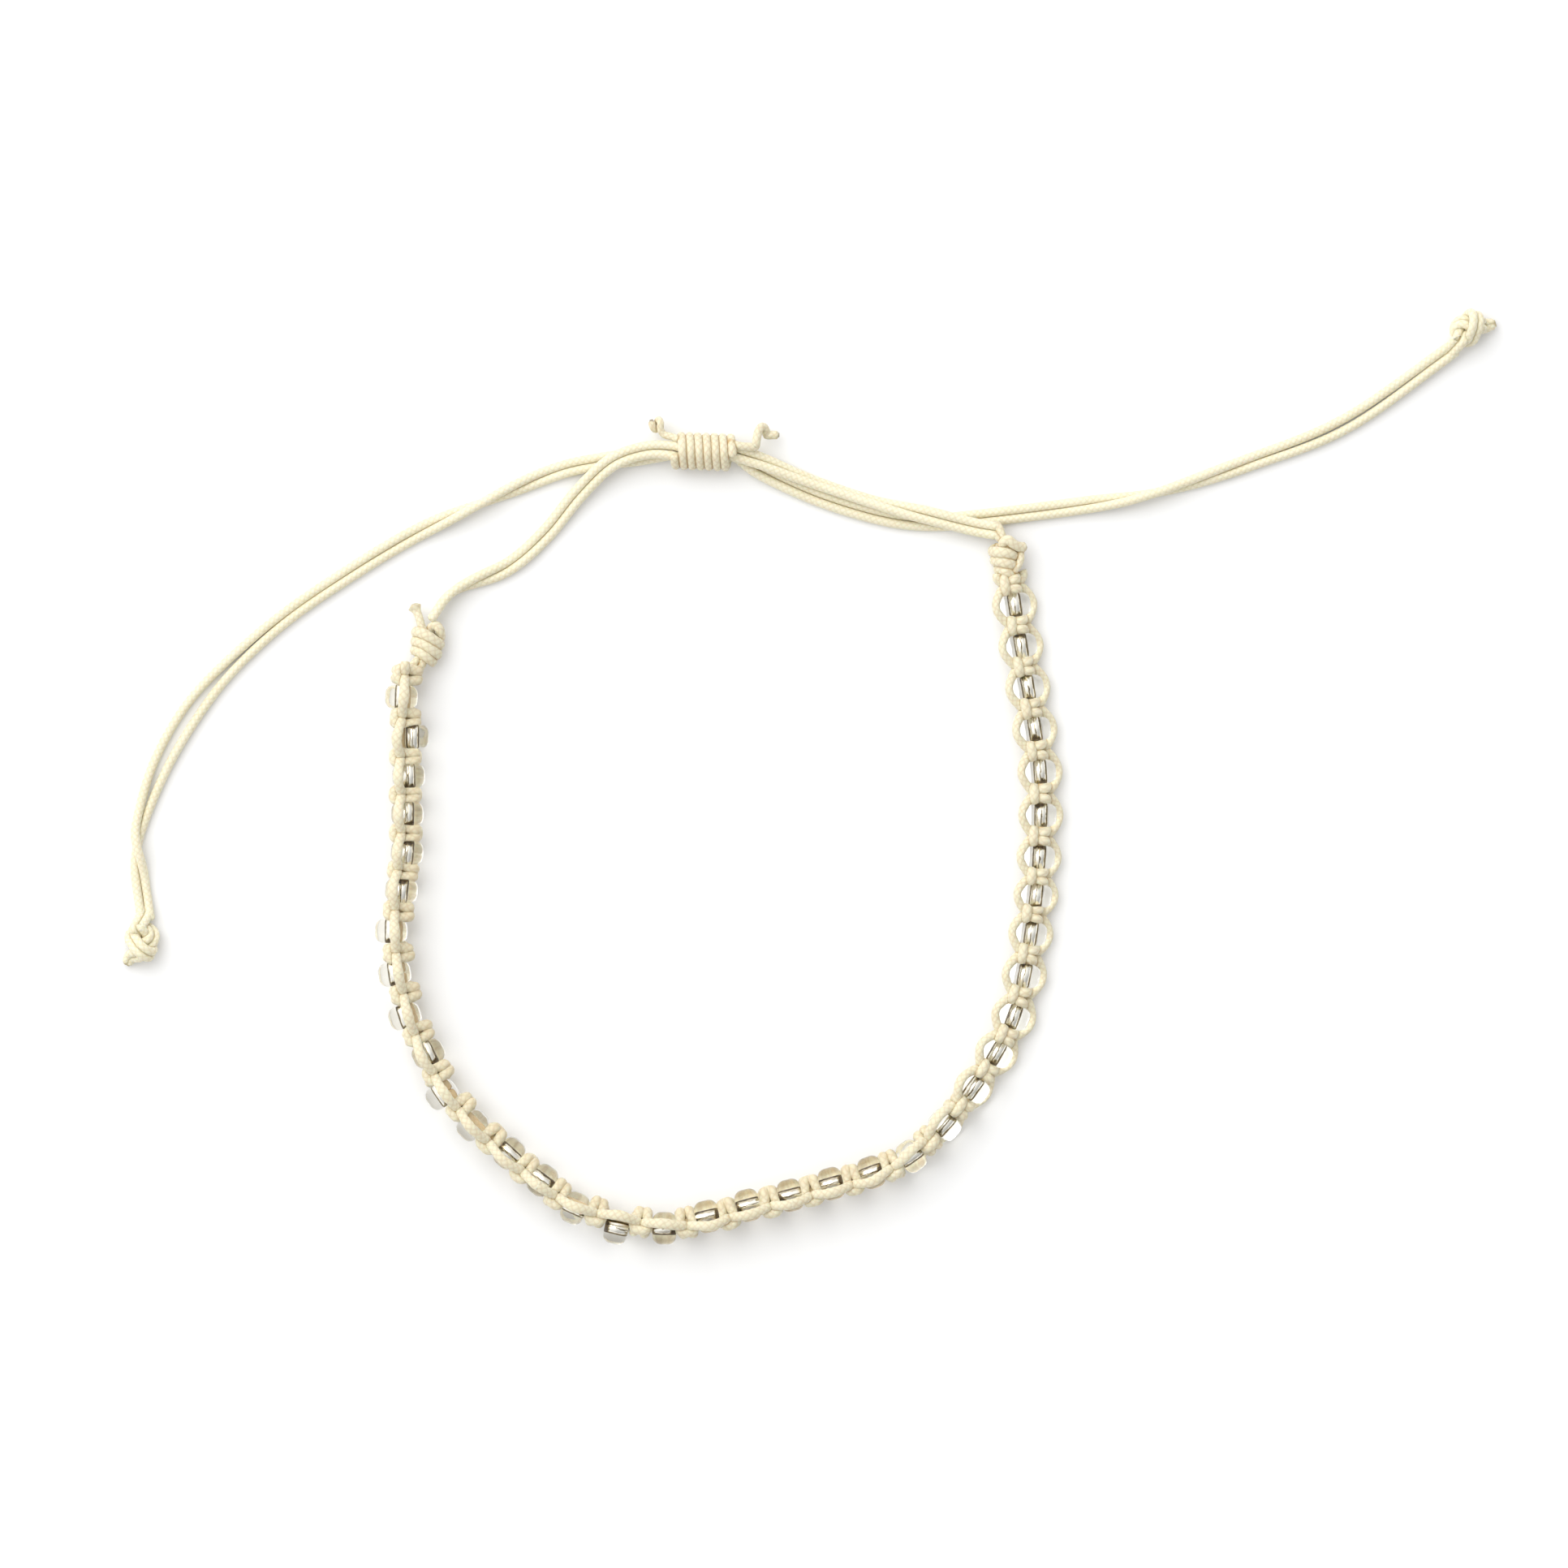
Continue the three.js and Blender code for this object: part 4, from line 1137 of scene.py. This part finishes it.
# %% Bead and lining shapes
BEAD_RADIUS = 1.6
BEAD_LONG = 2.35
HOLE = 0.48
TUMBLED = 0.85         # how far tumbling has rounded the outer edges
HOLE_EDGE = 0.12       # and the edges of the hole
LINING_LONG = 2.05
LINING_WALL = (HOLE - 0.04, HOLE + 0.02)   # the silver lies in the glass by a hair
ON_RIM = 0.02          # an edge this near to a radius lies on that rim


def select_only(blank, kind, wanted):
    """Leaves the blank in edit mode, with only the wanted faces or edges selected."""
    bpy.ops.object.mode_set(mode="EDIT")
    bpy.ops.mesh.select_mode(type=kind)
    bpy.ops.mesh.select_all(action="DESELECT")
    bpy.ops.object.mode_set(mode="OBJECT")
    parts = blank.data.polygons if kind == "FACE" else blank.data.edges
    for part in parts:
        part.select = wanted(part)
    bpy.ops.object.mode_set(mode="EDIT")


def leave_edit():
    bpy.ops.mesh.select_all(action="DESELECT")
    bpy.ops.object.mode_set(mode="OBJECT")


def tube_blank(name, radius, length, hole, sides=40):
    """A short thick-walled tube along x, in millimetres, made from a cylinder by operators."""
    bpy.ops.object.select_all(action="DESELECT")
    bpy.ops.mesh.primitive_cylinder_add(vertices=sides, radius=radius, depth=length,
                                        rotation=(0, math.pi / 2, 0))
    blank = bpy.context.object
    blank.name = name
    bpy.ops.object.transform_apply(location=True, rotation=True, scale=True)
    select_only(blank, "FACE", lambda face: abs(face.normal.x) > 0.9)
    bpy.ops.mesh.inset(thickness=radius - hole, use_even_offset=True)
    bpy.ops.mesh.bridge_edge_loops()
    leave_edit()
    return blank


def bevel_rims(blank, radius, width, segments):
    """Rounds the circular edges that lie at this radius."""
    def on_rim(edge):
        ends = [blank.data.vertices[i].co for i in edge.vertices]
        across = abs(ends[0].x - ends[1].x) < 1e-4
        return across and all(abs(math.hypot(v.y, v.z) - radius) < ON_RIM for v in ends)

    select_only(blank, "EDGE", on_rim)
    bpy.ops.mesh.bevel(offset=width, segments=segments, profile=0.5, affect="EDGES")
    leave_edit()


bead_blank = tube_blank("bead_blank", BEAD_RADIUS, BEAD_LONG, HOLE)
bevel_rims(bead_blank, BEAD_RADIUS, TUMBLED, segments=8)
bevel_rims(bead_blank, HOLE, HOLE_EDGE, segments=2)
lining_blank = tube_blank("lining_blank", LINING_WALL[1], LINING_LONG, LINING_WALL[0])
for blank in (bead_blank, lining_blank):
    size = [round(v, 2) for v in blank.dimensions]
    print(blank.name, "faces", len(blank.data.polygons), "size", size)

# %% [markdown]
# Clear glass lets lamp light through to what is behind it, and a bead even gathers it, so for
# shadow rays the glass is open, and brighter than open on the lower half of a bead that lies flat.
# Otherwise every bead would stand in its own dark shade. Its refraction is set a little below that
# of real glass, so that a bead shows the white under it and not the shaded floor far aside. A mask
# paints shade into the rims of the beads that stand on edge, where the cord's shade would show
# through.

# %% Glass
CLEAR, RIM_SHADE = (0.99, 0.99, 0.98), (0.42, 0.34, 0.24)
OPEN, GATHERED = (1.4, 1.4, 1.37), (4.0, 4.0, 3.95)    # light let through for shadow rays
REFRACTION = 1.36


def glass_material():
    material, tree, shader = new_material("clear glass")
    shader.inputs["Transmission Weight"].default_value = 1.0
    shader.inputs["IOR"].default_value = REFRACTION
    # Painted shade: the rims of beads on edge are tinted towards the cord's shade.
    tint = colour_mix(tree, mesh_mask(tree, "rim_shade"), CLEAR, RIM_SHADE)
    tree.links.new(tint, shader.inputs["Base Color"])
    ripple = noise(tree, 900)
    rough = math_node(tree, "MULTIPLY_ADD", ripple, 0.08, -0.02)
    tree.links.new(rough, shader.inputs["Roughness"])
    add_bump(tree, shader, ripple, 0.01)
    ray = tree.nodes.new("ShaderNodeLightPath")
    open_glass = tree.nodes.new("ShaderNodeBsdfTransparent")
    open_colour = colour_mix(tree, mesh_mask(tree, "lit"), OPEN, GATHERED)
    tree.links.new(open_colour, open_glass.inputs["Color"])
    either = tree.nodes.new("ShaderNodeMixShader")
    tree.links.new(ray.outputs["Is Shadow Ray"], either.inputs[0])
    tree.links.new(shader.outputs[0], either.inputs[1])
    tree.links.new(open_glass.outputs[0], either.inputs[2])
    tree.links.new(either.outputs[0], tree.nodes["Material Output"].inputs["Surface"])
    return material


GLASS = glass_material()
print("glass", GLASS.name, "with refraction", REFRACTION)

# %% [markdown]
# The lining's UV map runs along the hole and round it. Its colour is painted reflection: bright on
# its upper and under sides, where it would mirror the bright sky, and dark in a line at each side
# and in streaks round it, where it would mirror the shaded surroundings; olive is where it is
# worn.
# It is nearly black at both ends, partly worn there by the cord and partly painted shade, as no
# light gets in. It is more worn towards one end.

# %% Silver
# The lining's colours are painted reflection and painted shade, with wear mixed in.
STREAKS = 9            # dark lines round the lining
TOP_SHARE = 0.172      # the bright upper part reaches this far round to each side, in turns,
UNDER_FROM = 0.185     # and the under side is bright again from here, with a dark line between
DARK, OLIVE, BRIGHT = (0.10, 0.07, 0.04), (0.46, 0.38, 0.20), (0.97, 0.95, 0.88)


def silver_material():
    material, tree, shader = new_material("silver lining")
    shader.inputs["Metallic"].default_value = 1.0
    uv = tree.nodes.new("ShaderNodeUVMap")
    parts = tree.nodes.new("ShaderNodeSeparateXYZ")
    tree.links.new(uv.outputs[0], parts.inputs[0])
    along_hole, round_hole = parts.outputs[0], parts.outputs[1]

    def node(operation, *values):
        return math_node(tree, operation, *values)

    wear = noise(tree, 1300, 3, 0.6)
    rub = node("SUBTRACT", wear, 0.5)
    from_end = node("SUBTRACT", LINING_LONG / 2, node("ABSOLUTE", along_hole))
    one_sided = node("MULTIPLY_ADD", along_hole, 0.18, from_end)
    # The dark ends: painted shade, mixed with wear.
    worn_and_shaded_end = node("ADD", node("MULTIPLY", one_sided, 2.3), node("MULTIPLY_ADD", rub, 3.2, -0.4))
    wander = node("MULTIPLY_ADD", rub, 0.12, round_hole)
    streak = node("MULTIPLY", node("PINGPONG", wander, 1 / STREAKS), 3 * STREAKS)
    from_top = node("ABSOLUTE", round_hole)
    above = node("MULTIPLY_ADD", node("SUBTRACT", TOP_SHARE, from_top), 12.0,
                 node("MULTIPLY", rub, 1.4))
    below = node("MULTIPLY", node("SUBTRACT", from_top, UNDER_FROM), 9.0)
    # Painted reflection: bright top and under side, dark lines at the sides and in streaks.
    painted_reflection = node("MINIMUM", node("MAXIMUM", above, below), node("ADD", streak, rub))
    left = node("MINIMUM", worn_and_shaded_end, painted_reflection)
    colour = colour_ramp(tree, left, (0.08, DARK), (0.26, OLIVE), (0.5, BRIGHT))
    tree.links.new(colour, shader.inputs["Base Color"])
    tree.links.new(node("MULTIPLY_ADD", wear, -0.2, 0.32), shader.inputs["Roughness"])
    add_bump(tree, shader, wear, 0.03)
    return material


SILVER = silver_material()
print("silver", SILVER.name, "with", STREAKS, "streaks")

# %% [markdown]
# The beads are copies of the two blanks, each with its own mesh, turned by chance round its hole.
# Each is strung along the band's line and turned with the bows, and its masks are worked out
# there, because the painted shade in its rim and the light let through depend on how the bead
# lies.

# %% Copies on the cord
along, bow, front = band_axes(numbers)


def along_and_round(mesh, x, up_turn):
    """UVs of a bead part: millimetres along the hole, and turns round it from the upper side."""
    layer = mesh.uv_layers.new(name="UVMap") if not mesh.uv_layers else mesh.uv_layers[0]
    layer.name = "UVMap"
    corners = np.empty(len(mesh.loops), int)
    mesh.loops.foreach_get("vertex_index", corners)
    starts, totals = np.empty(len(mesh.polygons), int), np.empty(len(mesh.polygons), int)
    mesh.polygons.foreach_get("loop_start", starts)
    mesh.polygons.foreach_get("loop_total", totals)
    turns = up_turn[corners]
    first = np.repeat(turns[starts], totals)
    turns = turns - np.round(turns - first)
    layer.data.foreach_set("uv", np.stack([x[corners], turns], axis=1).ravel())


def bead_copy(blank, name, number, spin):
    """A copy of the blank with its own mesh, strung on the band and turned round its hole. Some
    are strung the other way round, because one end of the silver is more worn."""
    mesh = blank.data.copy()
    points = np.empty(len(mesh.vertices) * 3)
    mesh.vertices.foreach_get("co", points)
    x, y, z = points.reshape(-1, 3).T
    y, z = y * math.cos(spin) - z * math.sin(spin), y * math.sin(spin) + z * math.cos(spin)
    i = number - 1
    off = np.outer(y, bow[i]) - np.outer(z, front[i])
    place = bead_places[i] + np.outer(x, along[i]) + off
    aside = np.cross((0, 0, 1), along[i])
    way = 1 if number * 5 % 7 < 4 else -1
    # The turns are counted from the upper side, so the lining's painted reflection faces the sky.
    along_and_round(mesh, way * x, np.arctan2(off @ aside, off[:, 2]) / (2 * math.pi))
    mesh.vertices.foreach_set("co", (place * MM).ravel())
    rim = np.clip((np.abs(off @ aside) / BEAD_RADIUS - 0.5) / 0.2, 0, 1)
    lit = np.clip((-off[:, 2] / BEAD_RADIUS - 0.1) / 0.5, 0, 1) * math.cos(bead_turn[i]) ** 2
    # How much painted shade the rim of this bead gets.
    write_mask(mesh, "rim_shade", settled[i, 3] * rim)
    write_mask(mesh, "lit", lit)
    mesh.polygons.foreach_set("use_smooth", np.ones(len(mesh.polygons), bool))
    mesh.update()
    return joined(f"{name}_{number:02d}", [mesh])


for bead in numbers:
    spin = rng.uniform(0, 2 * math.pi)
    glass = bead_copy(bead_blank, "seed_bead", bead, spin)
    dress(glass, GLASS, "glass", f"bead_{bead:02d}")
    dress(bead_copy(lining_blank, "silver_lining", bead, spin), SILVER, "glass")
for blank in (bead_blank, lining_blank):
    bpy.data.objects.remove(blank)
print("beads made", BEADS)

# %% [markdown]
# ## Paper and light
#
# A sheet of white paper, lit so brightly that it is almost pure white, with a large soft light
# from the upper left and a bright sky all round. The sky is brighter towards that light and
# dimmer low down, and the camera itself sees it white. The shadows stay faint and warm.

# %% Floor
bpy.ops.mesh.primitive_plane_add(size=3, location=(0, 0, 0))
floor = bpy.context.object
floor.name = "paper"
paper, _, paper_shader = new_material("white paper")
paper_shader.inputs["Base Color"].default_value = (0.9, 0.9, 0.9, 1)
paper_shader.inputs["Roughness"].default_value = 0.9
floor.data.materials.append(paper)
print("floor", floor.name)

# %% Sky
world = bpy.data.worlds.new("studio")
bpy.context.scene.world = world
world.use_nodes = True
sky = world.node_tree
direction = sky.nodes.new("ShaderNodeTexCoord")
toward = sky.nodes.new("ShaderNodeVectorMath")
toward.operation = "DOT_PRODUCT"
toward.inputs[1].default_value = (-0.55, 0.6, 0.25)
sky.links.new(direction.outputs["Generated"], toward.inputs[0])
upward = sky.nodes.new("ShaderNodeSeparateXYZ")
sky.links.new(direction.outputs["Generated"], upward.inputs[0])


def sky_range(value, *limits):
    """Stretches a value of the sky from its own range to another."""
    stretch = sky.nodes.new("ShaderNodeMapRange")
    for socket, limit in zip(("From Min", "From Max", "To Min", "To Max"), limits):
        stretch.inputs[socket].default_value = limit
    sky.links.new(value, stretch.inputs["Value"])
    return stretch.outputs[0]


shade = sky_range(toward.outputs["Value"], -0.7, 0.7, 0.42, 1.33)
low = sky_range(upward.outputs["Z"], 0.0, 0.4, 0.7, 1.0)
seen = sky.nodes.new("ShaderNodeLightPath")
strength = math_node(sky, "MAXIMUM", math_node(sky, "MULTIPLY", shade, low),
                     seen.outputs["Is Camera Ray"])
sky.links.new(strength, sky.nodes["Background"].inputs["Strength"])
sky.nodes["Background"].inputs["Color"].default_value = (1, 1, 1, 1)
print("sky", world.name, len(sky.nodes), "nodes")

# %% Window light
window_data = bpy.data.lights.new("window", "AREA")
window_data.size = 0.8
window_data.energy = 3.4
window = bpy.data.objects.new("window", window_data)
bpy.context.collection.objects.link(window)
window.location = (-0.35, 0.40, 0.65)
window.rotation_euler = (AIM - window.location).to_track_quat("-Z", "Y").to_euler()
print("light", round(window_data.energy, 1), "watts from", tuple(window.location))
